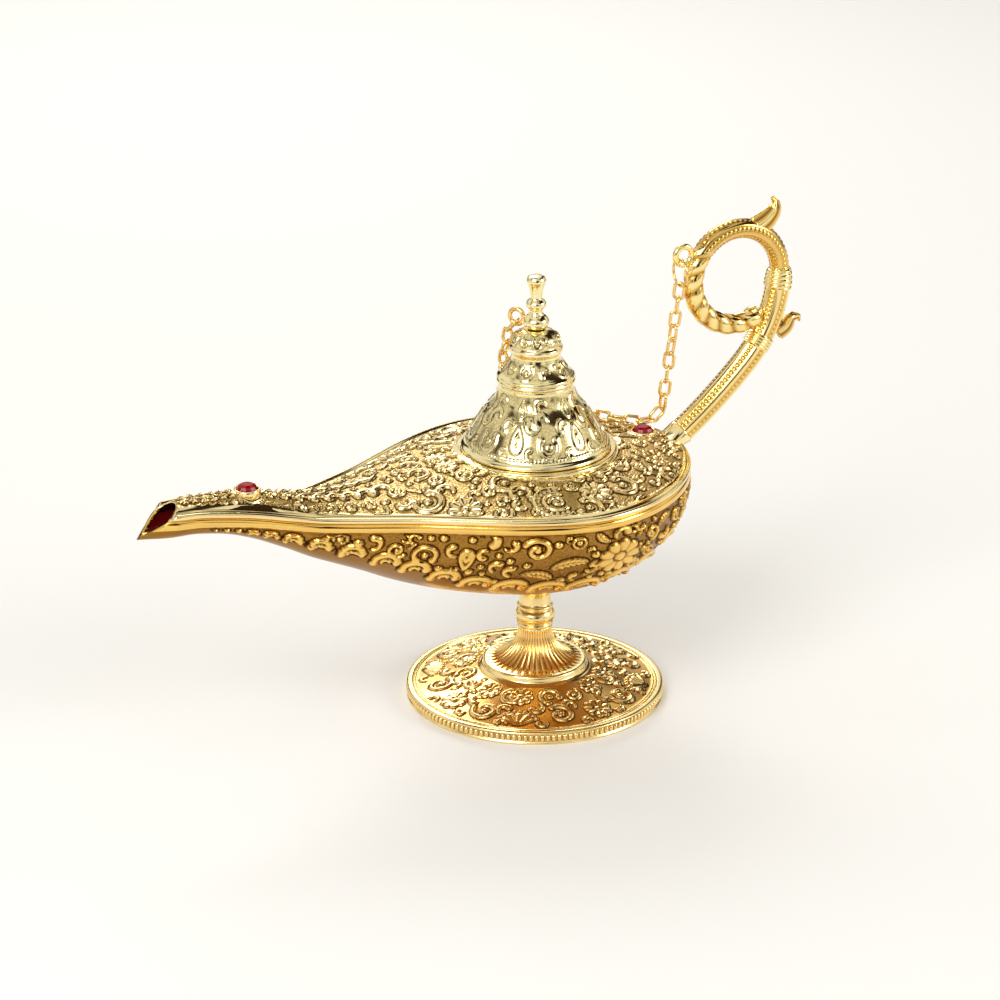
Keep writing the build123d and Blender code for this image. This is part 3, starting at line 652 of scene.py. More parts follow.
def wall_sizes(width):
    """Distance from the outline to the inner wall."""
    return np.minimum(BOWL_BEAD + WALL, 0.24 * width)


def low_dome(half, rise, y):
    """Height of a round arch with the given half width and rise."""
    radius = (half**2 + rise**2) / (2 * np.maximum(rise, 1e-6))
    return np.sqrt(np.maximum(radius[:, None] ** 2 - y**2, 0)) - (radius - rise)[:, None]


def closed_rings(x, width, lift, bead, field, under):
    """Places of rings that run over a bead, the field, the other bead and the inner wall."""
    bead_y, bead_z = bead
    y = np.concatenate([bead_y, field[0], -bead_y[:, ::-1], under[0], bead_y[:, :1]], axis=1)
    z = np.concatenate([bead_z, field[1], bead_z[:, ::-1], under[1], bead_z[:, :1]], axis=1)
    y = np.where(width[:, None] > 1e-6, y, 0)
    xs = np.repeat(x[:, None], y.shape[1], axis=1)
    border, columns = bead_y.shape[1], field[0].shape[1]
    start = 2 * border + columns
    inner = xs[:, start : start + under[0].shape[1]]
    inner -= WALL * np.clip(inner / REAR_REACH, 0, 1)
    return np.stack([xs, y, z + RIM + lift[:, None]], axis=2), border, columns


def deck_rings(x):
    """Places of the deck's rings, and a mask of the carved field."""
    width, lift, crown, _ = hull_sizes(x)
    scale = np.clip(width / FULL_BEAD_WIDTH, 0, 1)
    inset, rise = bead_points(0.9, DECK_BAND / 2, 9)
    inset = np.concatenate([inset, [1.25, 1.5, 1.75, 2.0, 2.25, 2.5, 3.4]])
    rise = np.concatenate([rise, [1.55, 1.2, 1.1, 1.2, 1.5, 1.72, 1.8]])
    bead_y = -(width[:, None] - inset[None, :] * scale[:, None])
    bead = bead_y, np.broadcast_to(rise[None, :], bead_y.shape)
    half = np.maximum(width - inset[-1] * scale, 0)
    y = half[:, None] * np.linspace(-1, 1, DECK_COLUMNS)[None, :]
    dome = np.maximum(crown - DECK_BAND, 0)
    z = np.where(half[:, None] > 1e-6, low_dome(half, dome, y), dome[:, None]) + DECK_BAND
    inner = width - wall_sizes(width)
    under_y = inner[:, None] * np.linspace(1, -1, 9)[None, :]
    under = under_y, low_dome(inner, np.maximum(crown - WALL / 2, 0.2), under_y)
    places, border, columns = closed_rings(x, width, lift, bead, (y, z), under)
    carved = np.zeros(places.shape[:2])
    carved[:, border - 1 : border + columns + 1] = 1
    return places, carved


def bowl_rings(x):
    """Places of the bowl's rings, a mask, and the lengths along and down the flank."""
    width, lift, _, keel = hull_sizes(x)
    scale = np.clip(width / FULL_BEAD_WIDTH, 0, 1)
    inset, fall = bead_points(BOWL_BEAD, BOWL_BAND / 2, 11)
    bead_y = -(width[:, None] - inset[None, :] * scale[:, None])
    bead = bead_y, -np.broadcast_to(fall[None, :], bead_y.shape)
    waist = np.maximum(width - BOWL_BEAD * scale, 0)
    depth = np.maximum(keel - BOWL_BAND, 0)
    flanks = np.linspace(0, 1.0, 88), np.linspace(math.pi - 1.0, math.pi, 88)
    turn = np.concatenate([flanks[0], np.linspace(1.0, math.pi - 1.0, 16)[1:-1], flanks[1]])
    y = -waist[:, None] * np.cos(turn)[None, :]
    z = -BOWL_BAND - depth[:, None] * np.sin(turn)[None, :]
    back = np.linspace(math.pi, 0, 15)
    under_y = -(width - wall_sizes(width))[:, None] * np.cos(back)[None, :]
    under = under_y, -np.maximum(keel - WALL, 0.3)[:, None] * np.sin(back)[None, :]
    places, border, columns = closed_rings(x, width, lift, bead, (y, z), under)
    field = slice(border, border + columns)
    carved, down = np.zeros(places.shape[:2]), np.zeros(places.shape[:2])
    carved[:, field] = 1
    down[:, field] = (waist + depth)[:, None] / 2 * np.minimum(turn, math.pi - turn)[None, :]
    along = np.concatenate([[0], np.cumsum(np.hypot(np.diff(x), np.diff(width)))])
    along = along - np.interp(0, x, along)
    return places, carved, np.repeat(along[:, None], places.shape[1], axis=1), down


print("columns across the deck:", DECK_COLUMNS)

# %% [markdown]
# At the nozzle a slanting plane cuts both castings, which makes the mouth. Bisecting the mesh
# leaves open edges in the cut, and they are filled, so the wall shows its real thickness.

# %% Mouth
MOUTH_SLOPE, LOWER_LIP = 0.76, RIM + 1.0


def cut_mouth(shape):
    """Cuts the nozzle on its slant and closes the cut faces."""
    point = Vector((-SPOUT_REACH, 0, LOWER_LIP)) * MM
    normal = Vector((-MOUTH_SLOPE, 0, 1)).normalized()
    everything = list(shape.verts) + list(shape.edges) + list(shape.faces)
    bmesh.ops.bisect_plane(
        shape, geom=everything, dist=1e-7, plane_co=point, plane_no=normal, clear_outer=False
    )
    high = [v for v in shape.verts if (v.co - point).dot(normal) > 1e-6 and v.co.x < -0.1]
    bmesh.ops.delete(shape, geom=high, context="VERTS")
    for corner in shape.verts:
        corner.co.x = max(corner.co.x, -SPOUT_REACH * MM)
    edges = [e for e in shape.edges if e.is_boundary]
    bmesh.ops.triangle_fill(shape, use_beauty=True, edges=edges, normal=normal)
    print("mouth edges:", len(edges))


print("mouth leans by", round(math.degrees(math.atan(MOUTH_SLOPE))), "degrees")

# %% [markdown]
# The deck's pattern lies in plan and repeats on both sides of the centre line: daisies, a large
# beaded C-scroll, small scrolls and bosses round the lid, and fish-bone leaves along the spout.

# %% Deck carving
deck_rows = [
    ("boss", -12.5, 27.0, 1.7, 0, 1),
    ("crescent", -18.6, 26.6, 3.6, 100, 1),
    ("beaded", -10.6, 34.4, 6.6, 0, 1),
    ("daisy", 2.8, 33.4, 5.2, 10, 1),
    ("crescent", 12.8, 32.0, 4.6, 20, -1),
    ("drop", 18.8, 29.6, 3.0, 60, 1),
    ("daisy", -36.2, 26.0, 5.4, 0, 1),
    ("scroll", -27.4, 32.6, 3.6, 160, 1),
    ("scroll", -26.6, 22.4, 3.2, 30, -1),
    ("crescent", -44.4, 17.6, 5.0, 250, 1),
    ("daisy", -31.8, 3.6, 3.8, 0, 1),
    ("ring", -29.6, 11.6, 2.8, 0, 1),
    ("scroll", -38.4, 9.4, 3.2, 90, 1),
    ("comma", -21.6, 31.8, 3.0, 140, 1),
    ("scroll", -3.2, 28.6, 2.6, 200, 1),
    ("comma", 8.0, 27.4, 2.8, 220, -1),
    ("scroll", 23.6, 24.0, 3.6, 120, -1),
    ("daisy", 31.6, 18.6, 4.6, 0, 1),
    ("scroll", 27.2, 15.4, 2.4, 20, 1),
    ("crescent", 38.6, 11.0, 3.4, 300, 1),
    ("ring", 31.0, 8.6, 2.4, 0, 1),
    ("leaf", 30.0, 2.2, 3.4, 15, 1),
    ("leaf", 43.0, 4.0, 2.6, 130, 1),
    ("comma", 24.4, 31.0, 2.6, 30, 1),
    ("scroll", -50.6, 8.6, 3.0, 200, 1),
    ("comma", -50.6, 15.4, 3.2, 60, 1),
]
for step in range(8):
    stem_x = -54.0 - 4.7 * step
    reach = 5.0 - 0.42 * step
    deck_rows.append(("comma", stem_x, reach, reach * 0.9, 110, -1))
    deck_rows.append(("boss", stem_x - 1.6, 0.0, 0.9, 0, 1))
for step in range(4):
    side_x, side_y, size = -60.0 - 5.6 * step, 11.0 - 1.3 * step, 2.4 - 0.2 * step
    deck_rows.append(("scroll", side_x, side_y, size, 40 * step, 1))
for step in range(6):
    nose_x = -99.6 - 2.9 * step
    deck_rows.append(("scroll", nose_x, 1.7, 1.35, 70 * step, 1 if step % 2 else -1))
    deck_rows.append(("boss", nose_x, 4.0, 0.7, 0, 1))

DECK_FILL_FROM, DECK_FILL_LENGTH, DECK_BORDER = -84, 132, 4.2


def deck_spot(share_a, share_b):
    """A place on the deck's field from two shares."""
    x = DECK_FILL_FROM + DECK_FILL_LENGTH * share_a
    width = float(hull_sizes(np.array([x]))[0][0])
    return x, (width - DECK_BORDER) * share_b


for count, sizes, seed in ((900, (3.4, 5.0), 3), (700, (2.1, 2.6), 4), (600, (1.5, 1.8), 7)):
    deck_rows = fillers(deck_rows, deck_spot, count, sizes, seed)
print("deck stamps:", len(deck_rows))

# %% [markdown]
# The strokes rise above the CAD's smooth dome and the ground sinks a little below it. The
# carving fades out before the rim, the lid's seat, the gems and the nozzle, where the casting
# is plain.

# %% Deck shell
SEAT, SEAT_RADIUS, OPENING_RADIUS = RIM + 8.0, 24.5, 21.3
DECK_RELIEF, DECK_SINK = 0.9, 0.35
GEM_XS, GEM_RADIUS, BEZEL = (-94.1, 36.9), 3.2, 0.8
NOZZLE_PLAIN = -118.5, -116.5

deck_x = hull_xs(96, 166, 148)
deck_places, field = deck_rings(deck_x)
plan_x, plan_y = deck_places[:, :, 0], np.abs(deck_places[:, :, 1])
deck_height = carve(plan_x, plan_y, deck_rows)
deck_width = hull_sizes(deck_x)[0][:, None]
field = field * blended(0.0, 1.2, deck_width - 3.6 - plan_y)
field = field * blended(SEAT_RADIUS + 0.6, SEAT_RADIUS + 1.6, np.hypot(plan_x, plan_y))
field = field * blended(*NOZZLE_PLAIN, plan_x)
for gem_x in GEM_XS:
    from_gem = np.hypot(plan_x - gem_x, plan_y)
    field = field * blended(GEM_RADIUS + 1.0, GEM_RADIUS + 1.8, from_gem)
deck_lift = field * (DECK_RELIEF * deck_height - DECK_SINK)
deck_formed = deck_places - outward(deck_places) * deck_lift[:, :, None]
# the dark line round each stroke is antiquing and painted shade
deck_tone = antiquing_and_painted_shade(deck_height) * field + (1 - field)
deck_ground = field * (1 - blended(0.02, 0.3, deck_height))
deck_shape = formed("deck", [(deck_formed, deck_tone, deck_ground)])
cut_mouth(deck_shape)

# %% [markdown]
# Round parts are turned: Blender's spin takes a profile round the axis. The opening for the lid
# is cut with Blender's Boolean, because the carved sheet and the round hole have nothing in
# common that a grid could follow.


# %% Lid opening
def turned_points(profile, centre=(0.0, 0.0), steps=96):
    """A bmesh spun round the vertical axis from (radius, height) points in mm."""
    shape = bmesh.new()
    corners = [shape.verts.new(Vector((r, 0, z)) * MM) for r, z in profile]
    edges = [shape.edges.new(pair) for pair in zip(corners, corners[1:])]
    edges.append(shape.edges.new((corners[-1], corners[0])))
    bmesh.ops.spin(
        shape, geom=corners + edges, cent=(0, 0, 0), axis=(0, 0, 1), angle=FULL_TURN,
        steps=steps, use_merge=True,
    )
    bmesh.ops.remove_doubles(shape, verts=shape.verts, dist=1e-6)
    bmesh.ops.translate(shape, verts=shape.verts, vec=Vector((centre[0], centre[1], 0)) * MM)
    return polished(shape)


def cylinder(radius, length, place, segments):
    """A capped cylinder of a radius and length in mm at a placement matrix."""
    shape = bmesh.new()
    bmesh.ops.create_cone(
        shape, cap_ends=True, segments=segments, radius1=radius * MM, radius2=radius * MM,
        depth=length * MM, matrix=place,
    )
    return shape


def cut_cylinder(shape, radius, low, high):
    """Cuts an upright cylinder through a closed bmesh and gives the result."""
    middle = Matrix.Translation((0, 0, (low + high) / 2 * MM))
    cutter_shape = cylinder(radius, high - low, middle, 96)
    holder = bpy.data.objects.new("holder", as_mesh("target", shape))
    cutter = bpy.data.objects.new("cutter", as_mesh("tool", cutter_shape))
    for item in (holder, cutter):
        bpy.context.scene.collection.objects.link(item)
    cut = holder.modifiers.new("opening", "BOOLEAN")
    cut.operation, cut.object, cut.solver = "DIFFERENCE", cutter, "MANIFOLD"
    bpy.context.view_layer.update()
    seen = holder.evaluated_get(bpy.context.evaluated_depsgraph_get())
    result = bmesh.new()
    result.from_mesh(seen.to_mesh())
    for item in (holder, cutter):
        bpy.data.objects.remove(item)
    return result


before_cut = len(deck_shape.verts)
deck_shape = cut_cylinder(deck_shape, SEAT_RADIUS - 1.2, RIM + 2.0, SEAT + 6.0)
print("deck corners before and after the cut:", before_cut, len(deck_shape.verts))

# %% [markdown]
# A seat ring stands round the opening, two round bezels hold the gems, and a short boss at the
# rear carries the handle. They are cast with the deck, so they join its mesh.

# %% Seat, bezels and boss
SEAT_PROFILE = (
    (OPENING_RADIUS, SEAT - 3.8),
    (SEAT_RADIUS - 0.4, SEAT - 3.8),
    (SEAT_RADIUS, SEAT - 3.4),
    (SEAT_RADIUS, SEAT - 0.5),
    (SEAT_RADIUS - 0.15, SEAT - 0.15),
    (SEAT_RADIUS - 0.5, SEAT),
    (OPENING_RADIUS + 0.4, SEAT),
    (OPENING_RADIUS, SEAT - 0.4),
)
join_into(deck_shape, turned_points(SEAT_PROFILE, steps=160))
for gem_x in GEM_XS:
    _, lift, crown, _ = hull_sizes(np.array([gem_x]))
    crown_z = RIM + float(lift[0] + crown[0])
    bezel_profile = [
        (GEM_RADIUS, crown_z - WALL),
        (GEM_RADIUS + BEZEL, crown_z - WALL),
        (GEM_RADIUS + BEZEL, crown_z + 0.5),
        (GEM_RADIUS + BEZEL * 0.75, crown_z + 0.85),
        (GEM_RADIUS + BEZEL * 0.25, crown_z + 0.85),
        (GEM_RADIUS, crown_z + 0.5),
    ]
    join_into(deck_shape, turned_points(bezel_profile, (gem_x, 0.0), 40))

ROOT_X, ROOT_Z, ROOT_HEADING = REAR_REACH + 1.7, RIM + 4.4, math.radians(37)
BOSS_RADIUS, BOSS_LENGTH, BOSS_FOOT = 4.2, 5.6, RIM + 0.3
root_dir = Vector((math.cos(ROOT_HEADING), 0, math.sin(ROOT_HEADING)))
boss_middle = Vector((ROOT_X, 0, ROOT_Z)) - root_dir * (BOSS_LENGTH / 2)
boss_turn = root_dir.to_track_quat("Z", "Y").to_matrix().to_4x4()
boss_place = Matrix.Translation(boss_middle * MM) @ boss_turn
boss_shape = cylinder(BOSS_RADIUS, BOSS_LENGTH, boss_place, 40)
rim_edges = [e for e in boss_shape.edges if any(len(f.verts) > 4 for f in e.link_faces)]
bmesh.ops.bevel(
    boss_shape, geom=rim_edges, offset=0.4 * MM, segments=3, profile=0.5, affect="EDGES",
    material=-1,
)
for corner in boss_shape.verts:
    corner.co.z = max(corner.co.z, BOSS_FOOT * MM)
join_into(deck_shape, polished(boss_shape))
deck_piece = finish_piece("deck_casting", deck_shape, deck_gold, "lamp", ["deck_shell"])

# %% [markdown]
# Inside the mouth the nozzle is dark red. Enamel is fired on in one go with no edge of its own,
# so it is a second material on the inner faces, set back a little from the bright lip.

# %% Mouth lining
LIP_LEFT_BARE, LINED_UP_TO = 0.9, -104.0


def line_mouth(piece, facing):
    """Gives a nozzle's inner wall its enamel. Facing is 1 for walls that look up, -1 down."""
    mesh = piece.data
    mesh.materials.append(red_enamel)
    x, y, z = (rows_of(mesh.polygons, "center") / MM).T
    up = rows_of(mesh.polygons, "normal")[:, 2]
    width = hull_sizes(x)[0]
    inside = np.abs(y) < width - wall_sizes(width) + 0.05
    below_cut = LOWER_LIP - z + MOUTH_SLOPE * (x + SPOUT_REACH)
    behind_lip = below_cut / math.hypot(1, MOUTH_SLOPE) > LIP_LEFT_BARE
    lined = (x < LINED_UP_TO) & inside & behind_lip & (facing * up > 0.15)
    mesh.polygons.foreach_set("material_index", lined.astype(int))
    print("enamelled faces:", int(lined.sum()))


line_mouth(deck_piece, -1)

# %% [markdown]
# Down the bowl's flank runs a broad band of scrolls, drops, commas and a large daisy on
# stippled ground. Raised scallops that grow towards the middle close it below, and under them
# the hull is plain and polished, with painted shade that darkens it. The pattern's axes are
# lengths along and down the flank.

# %% Bowl carving
bowl_x = hull_xs(90, 164, 146)
bowl_places, bowl_carved, bowl_along, bowl_down = bowl_rings(bowl_x)
bowl_width, _, _, bowl_keel = hull_sizes(bowl_x)


def flank_place(x, turn):
    """Pattern coordinates of the flank at an X and a turn down the section, in radians."""
    along = float(np.interp(x, bowl_x, bowl_along[:, 0]))
    reach = float(np.interp(x, bowl_x, (bowl_width - BOWL_BEAD + bowl_keel - BOWL_BAND) / 2))
    return along, reach * turn


# x, turn down the section, size
SCALLOPS = (
    (-95.4, 0.36, 1.7),
    (-90.0, 0.40, 2.2),
    (-83.4, 0.44, 2.8),
    (-75.6, 0.48, 3.3),
    (-66.8, 0.53, 3.8),
    (-57.5, 0.60, 4.2),
    (-49.5, 0.64, 4.4),
    (-41.5, 0.70, 4.6),
    (-33.0, 0.74, 4.8),
    (-23.6, 0.74, 5.2),
    (-13.0, 0.74, 5.4),
    (-1.6, 0.74, 5.6),
    (10.0, 0.72, 5.4),
    (21.0, 0.68, 5.0),
    (30.6, 0.60, 4.4),
    (38.2, 0.50, 4.0),
    (43.8, 0.42, 3.6),
)
BAND_MOTIFS = (
    ("drop", -37.5, 0.34, 4.2, 0, 1),
    ("comma", -41.4, 0.24, 3.0, 150, 1),
    ("comma", -33.6, 0.24, 3.0, 30, -1),
    ("boss", -36.5, 0.07, 1.2, 0, 1),
    ("crescent", -48.0, 0.34, 4.0, 90, 1),
    ("scroll", -55.4, 0.30, 3.4, 200, 1),
    ("comma", -61.0, 0.22, 3.4, 200, -1),
    ("boss", -65.5, 0.24, 1.5, 0, 1),
    ("scroll", -70.0, 0.16, 2.2, 20, 1),
    ("scroll", -19.5, 0.17, 5.2, 10, 1),
    ("comma", -30.0, 0.40, 3.2, 190, 1),
    ("comma", -26.0, 0.46, 3.2, 170, 1),
    ("leaf", -17.6, 0.48, 5.4, 20, 1),
    ("leaf", -10.0, 0.32, 5.8, -12, -1),
    ("ring", -8.0, 0.10, 2.4, 0, 1),
    ("comma", -26.4, 0.14, 3.0, 250, -1),
    ("daisy", 6.4, 0.34, 8.0, 0, 1),
    ("scroll", 18.4, 0.20, 3.6, 100, -1),
    ("ring", 18.6, 0.44, 2.6, 0, 1),
    ("comma", 25.4, 0.34, 3.6, 40, 1),
    ("scroll", 30.6, 0.18, 3.4, 220, 1),
    ("drop", 36.8, 0.26, 3.4, 0, 1),
    ("ring", 41.4, 0.10, 1.9, 0, 1),
    ("scroll", 44.6, 0.24, 2.8, 60, -1),
    ("daisy", 47.6, 0.20, 3.8, 0, 1),
)
bowl_rows = []
for spot_x, turn, size in SCALLOPS:
    bowl_rows.append(("scallop", *flank_place(spot_x, turn), size, 180, 1))
for kind, spot_x, turn, size, angle, hand in BAND_MOTIFS:
    bowl_rows.append((kind, *flank_place(spot_x, turn), size, angle, hand))
for step in range(3):
    bead_along, _ = flank_place(-106.8 + 3.5 * step, 0)
    bowl_rows.append(("boss", bead_along, 1.2 + 0.12 * step, 0.8 + 0.06 * step, 0, 1))

scallop_xs = np.array([row[0] for row in SCALLOPS])
scallop_downs = np.array([flank_place(*row[:2])[1] for row in SCALLOPS])
BOWL_FILL_FROM, BOWL_FILL_LENGTH = -78, 126


def bowl_spot(share_a, share_b):
    """A place on the bowl's band, above the scallops, from two shares."""
    x = BOWL_FILL_FROM + BOWL_FILL_LENGTH * share_a
    along, _ = flank_place(x, 0)
    return along, 1.4 + (float(np.interp(x, scallop_xs, scallop_downs)) - 3.4) * share_b


for count, sizes, seed in ((800, (3.4, 4.8), 9), (500, (2.0, 2.6), 10), (500, (1.5, 1.8), 11)):
    bowl_rows = fillers(bowl_rows, bowl_spot, count, sizes, seed)
print("bowl stamps:", len(bowl_rows))

# %% [markdown]
# The band's ground sinks and is stippled down to the scallops, and narrows to nothing along the
# spout. A round boss with a screw hole stands under the keel, where the collar meets the bowl.

# %% Bowl shell
BOWL_RELIEF, BOWL_SINK = 1.15, 0.35
# X between which the stipple and the strokes fade in behind the nozzle
STIPPLE_FROM, STROKES_FROM = (-116, -112), (-112, -109)
bowl_height = carve(bowl_along, bowl_down, bowl_rows)
band_foot = np.interp(bowl_x, scallop_xs, scallop_downs)[:, None]
ahead = np.clip((scallop_xs[0] - bowl_x) / 20, 0, 1)[:, None]
band_foot = band_foot * (1 - ahead) + 1.6 * ahead
top_fade = blended(0.2, 1.0, bowl_down)
stippled = bowl_carved * top_fade * (1 - blended(-0.6, 0.4, bowl_down - band_foot))
stippled = stippled * blended(*STIPPLE_FROM, bowl_x)[:, None]
carved_zone = bowl_carved * top_fade * blended(*STROKES_FROM, bowl_x)[:, None]
bowl_lift = carved_zone * BOWL_RELIEF * bowl_height - stippled * BOWL_SINK
bowl_formed = bowl_places + outward(bowl_places) * bowl_lift[:, :, None]
# the plain hull under the scallops is painted darker: painted shade and a painted dark reflection
# on the underside
plain_hull_painted_shade = 0.2 * (1 - stippled) * (1 - bowl_height)
# the dark line round each stroke is antiquing and painted shade
bowl_tone = np.where(bowl_carved > 0, antiquing_and_painted_shade(bowl_height * carved_zone) - plain_hull_painted_shade, 1.0)
bowl_ground = stippled * (1 - blended(0.02, 0.3, bowl_height))
bowl_shape = formed("bowl", [(bowl_formed, bowl_tone, bowl_ground)])
cut_mouth(bowl_shape)

SCREW_HOLE = 1.52
KEEL_BOSS = (
    (SCREW_HOLE, RIM - 35.5),
    (8.3, RIM - 35.5),
    (8.5, RIM - 35.3),
    (8.5, RIM - 32.0),
    (7.6, RIM - 29.6),
    (6.0, RIM - 28.4),
    (SCREW_HOLE, RIM - 28.4),
)
join_into(bowl_shape, turned_points(KEEL_BOSS, steps=64))
bowl_piece = finish_piece("bowl_casting", bowl_shape, shaded_hull_gold, "lamp", ["bowl_shell"])
line_mouth(bowl_piece, 1)

# %% [markdown]
# Foot and lid are castings with a round plan. Their profiles are points (radius, height) in mm,
# joined by straight runs and arcs, and a profile turned about the lamp's axis is a sheet, so
# the same carving serves them. Blender's Screw modifier would turn them too, but gives no
# azimuths to carve with.


# %% Turned sheets
def rounded(points, steps=None):
    """A profile through points, with every straight run divided into its number of steps."""
    spots = [np.array(points[0], float)[None, :]]
    for start, end, count in zip(points, points[1:], steps or [1] * len(points)):
        share = np.linspace(0, 1, count + 1)[1:, None]
        spots.append(np.array(start, float) * (1 - share) + np.array(end, float) * share)
    return np.concatenate(spots)


def arc_through(first, middle, last, steps):
    """Points of a bow through three places, without its first point."""
    first, middle, last = (np.array(p, float) for p in (first, middle, last))
    share = np.linspace(0, 1, steps + 1)[1:, None]
    weight = 2 * share * (1 - share)
    control = 2 * middle - (first + last) / 2
    return (1 - share) ** 2 * first + weight * control + share**2 * last


def turned_sheet(profile, columns):
    """A profile turned about the lamp's axis: places, azimuths and radii."""
    azimuth = np.linspace(0, FULL_TURN, columns + 1)
    radius = np.repeat(profile[:, :1], columns + 1, axis=1)
    up = np.repeat(profile[:, 1:2], columns + 1, axis=1)
    places = np.stack([radius * np.cos(azimuth), radius * np.sin(azimuth), up], axis=2)
    return places, np.repeat(azimuth[None, :], len(profile), axis=0), radius


print("a bow of 4 steps adds", len(arc_through((0, 0), (1, 1), (2, 0), 4)), "points")

# %% [markdown]
# The foot is one thin casting, so one sheet carries most of it: a smooth rim band with a
# groove, a disc with fans, flowers and scrolls on bright ground, a plain ring and a fluted
# trumpet, all open below.

# %% Foot profile
DISC_ROWS, TRUMPET_ROWS = 56, 26
foot_outside = np.concatenate(
    [
        rounded([(37.8, 0.0), (39.5, 0.0), (39.75, 0.3), (39.75, 0.7)], [2, 1, 1]),
        rounded([(39.75, 0.9), (39.75, 3.1)], [7]),
        rounded(
            [(39.75, 3.3), (39.6, 3.75), (39.2, 4.0), (37.7, 4.0), (37.5, 3.45), (37.1, 3.4)]
            + [(36.9, 3.95)],
            [1, 1, 3, 2, 1, 2],
        ),
        arc_through((36.9, 3.95), (26.2, 6.5), (16.5, 9.3), DISC_ROWS),
        [(16.2, 9.5), (16.0, 9.9), (16.05, 10.6), (15.8, 11.2), (15.3, 11.45), (14.8, 11.3)],
        arc_through((14.8, 11.3), (7.6, 15.6), (5.2, 22.0), TRUMPET_ROWS),
        [(5.0, 22.5), (1.7, 22.5), (1.7, 19.5), (3.9, 19.5)],
        rounded([(3.9, 19.5), (6.1, 12.6), (13.2, 9.3), (34.8, 1.8)], [1, 2, 2])[1:],
        [(37.8, 0.0)],
    ]
)
foot_places, foot_az, foot_r = turned_sheet(foot_outside, 600)
foot_z = foot_places[:, :, 2]
print("foot rows:", len(foot_outside))

# %% [markdown]
# Each quarter of the disc has the same large motifs: a fan, two scrolls and a daisy outside,
# smaller daisies and C-scrolls inside, and commas between. The forty flutes are counted from
# the part that can be seen.

# %% Foot carving
FOOT_RELIEF, FOOT_SINK = 0.68, 0.3
FLUTES, FLUTE_DEPTH = 40, 0.62
KNURL_LOW, KNURL_HIGH = 0.9, 3.1
# where the disc's carving and the flutes rise and fall, and the radii between which gaps fill
DISC_FADES = (16.9, 17.5), (36.2, 36.8)
FLUTE_FADES = (11.3, 12.4), (21.4, 22.2)
FILL_FROM, FILL_TO = 18.6, 35.2
foot_row = np.arange(len(foot_outside))[:, None]
on_disc = (foot_r > 16.9) & (foot_r < 36.7) & (foot_row > 20) & (foot_row < 90)
foot_rows = []
for quarter in range(4):
    base = 90 * quarter
    foot_rows += [
        ("fan", base - 36, 32.2, 4.8, 180, 1),
        ("scroll", base - 12, 30.4, 4.8, 40, 1),
        ("daisy", base + 11, 31.2, 4.4, 0, 1),
        ("scroll", base + 33, 30.4, 4.8, 200, -1),
        ("daisy", base - 38, 22.0, 3.8, 0, 1),
        ("crescent", base - 15, 22.0, 3.6, 60, 1),
        ("scroll", base + 4, 22.6, 3.0, 120, 1),
        ("daisy", base + 24, 21.8, 3.6, 0, 1),
        ("crescent", base + 44, 22.4, 3.4, 300, 1),
        ("comma", base - 25, 26.8, 3.4, 30, 1),
        ("comma", base - 3, 26.4, 3.0, 150, -1),
        ("comma", base + 22, 27.2, 3.2, 20, -1),
        ("comma", base + 43, 28.4, 3.2, 200, 1),
        ("comma", base - 23, 34.4, 2.4, 80, 1),
        ("comma", base + 1, 34.6, 2.4, 100, -1),
        ("comma", base + 22, 34.6, 2.2, 60, 1),
        ("comma", base + 46, 34.2, 2.4, 100, -1),
    ]


def disc_spot(share_a, share_b):
    """An azimuth and a radius on the foot's disc from two shares."""
    return 360 * share_a, FILL_FROM + (FILL_TO - FILL_FROM) * share_b


foot_rows = fillers(foot_rows, disc_spot, 200, (1.5, 2.0), 5, turned_gap, (0.9, 0.8))
foot_height = carve_turned(foot_az, foot_r, foot_r, foot_rows) * on_disc
disc_fade = window(foot_r, *DISC_FADES) * on_disc
on_trumpet = (foot_r < 14.6) & (foot_z > 11.3) & (foot_z < 22.2) & (foot_row < 120)
flute_ends = window(foot_z, *FLUTE_FADES)
flute = np.where(on_trumpet, np.abs(np.cos(foot_az * FLUTES / 2)) * flute_ends, 0)
behind_knurl = (foot_z > 0.85) & (foot_z < 3.15) & (foot_r > 39)
foot_lift = (FOOT_RELIEF * foot_height - FOOT_SINK) * disc_fade - np.where(behind_knurl, 0.6, 0)
foot_lift = foot_lift - flute * np.clip(foot_r / 12, 0.5, 1) * FLUTE_DEPTH
foot_formed = foot_places + outward(foot_places) * foot_lift[:, :, None]
# the dark line round each stroke is antiquing and painted shade
carved_tone = antiquing_and_painted_shade(foot_height * disc_fade, 0.8) * disc_fade
# the flutes' grooves are painted darker: painted shade
foot_tone = carved_tone + (1 - disc_fade) * (1 - 0.7 * flute)
print("foot stamps:", len(foot_rows))

# %% [markdown]
# The edge of the foot is knurled: 144 upright barrels, with the grooves between them painted
# dark as antiquing and painted shade. It is a closed band of its own, because its notches need
# far finer columns than the disc.

# %% Foot edge and casting
NOTCHES, COLUMNS_PER_NOTCH, KNURL_DEPTH = 144, 8, 0.85
knurl_turn = np.linspace(0, FULL_TURN, NOTCHES * COLUMNS_PER_NOTCH + 1)[None, :]
knurl_z = np.concatenate(
    [[KNURL_LOW], np.linspace(KNURL_LOW, KNURL_HIGH, 9), [KNURL_HIGH, KNURL_LOW]]
)[:, None]
knurl_base = np.concatenate([[38.4], np.full(9, 39.05), [38.4, 38.4]])[:, None]
barrel = np.sqrt(np.clip(1 - ((knurl_z - 2.0) / 1.15) ** 2, 0, 1)) * (knurl_base > 38.5)
bead = np.abs(np.sin(knurl_turn * NOTCHES / 2))
knurl_r = knurl_base + KNURL_DEPTH * barrel * bead
knurl_places = np.stack(
    [knurl_r * np.cos(knurl_turn), knurl_r * np.sin(knurl_turn), knurl_z + 0 * knurl_r], axis=2
)
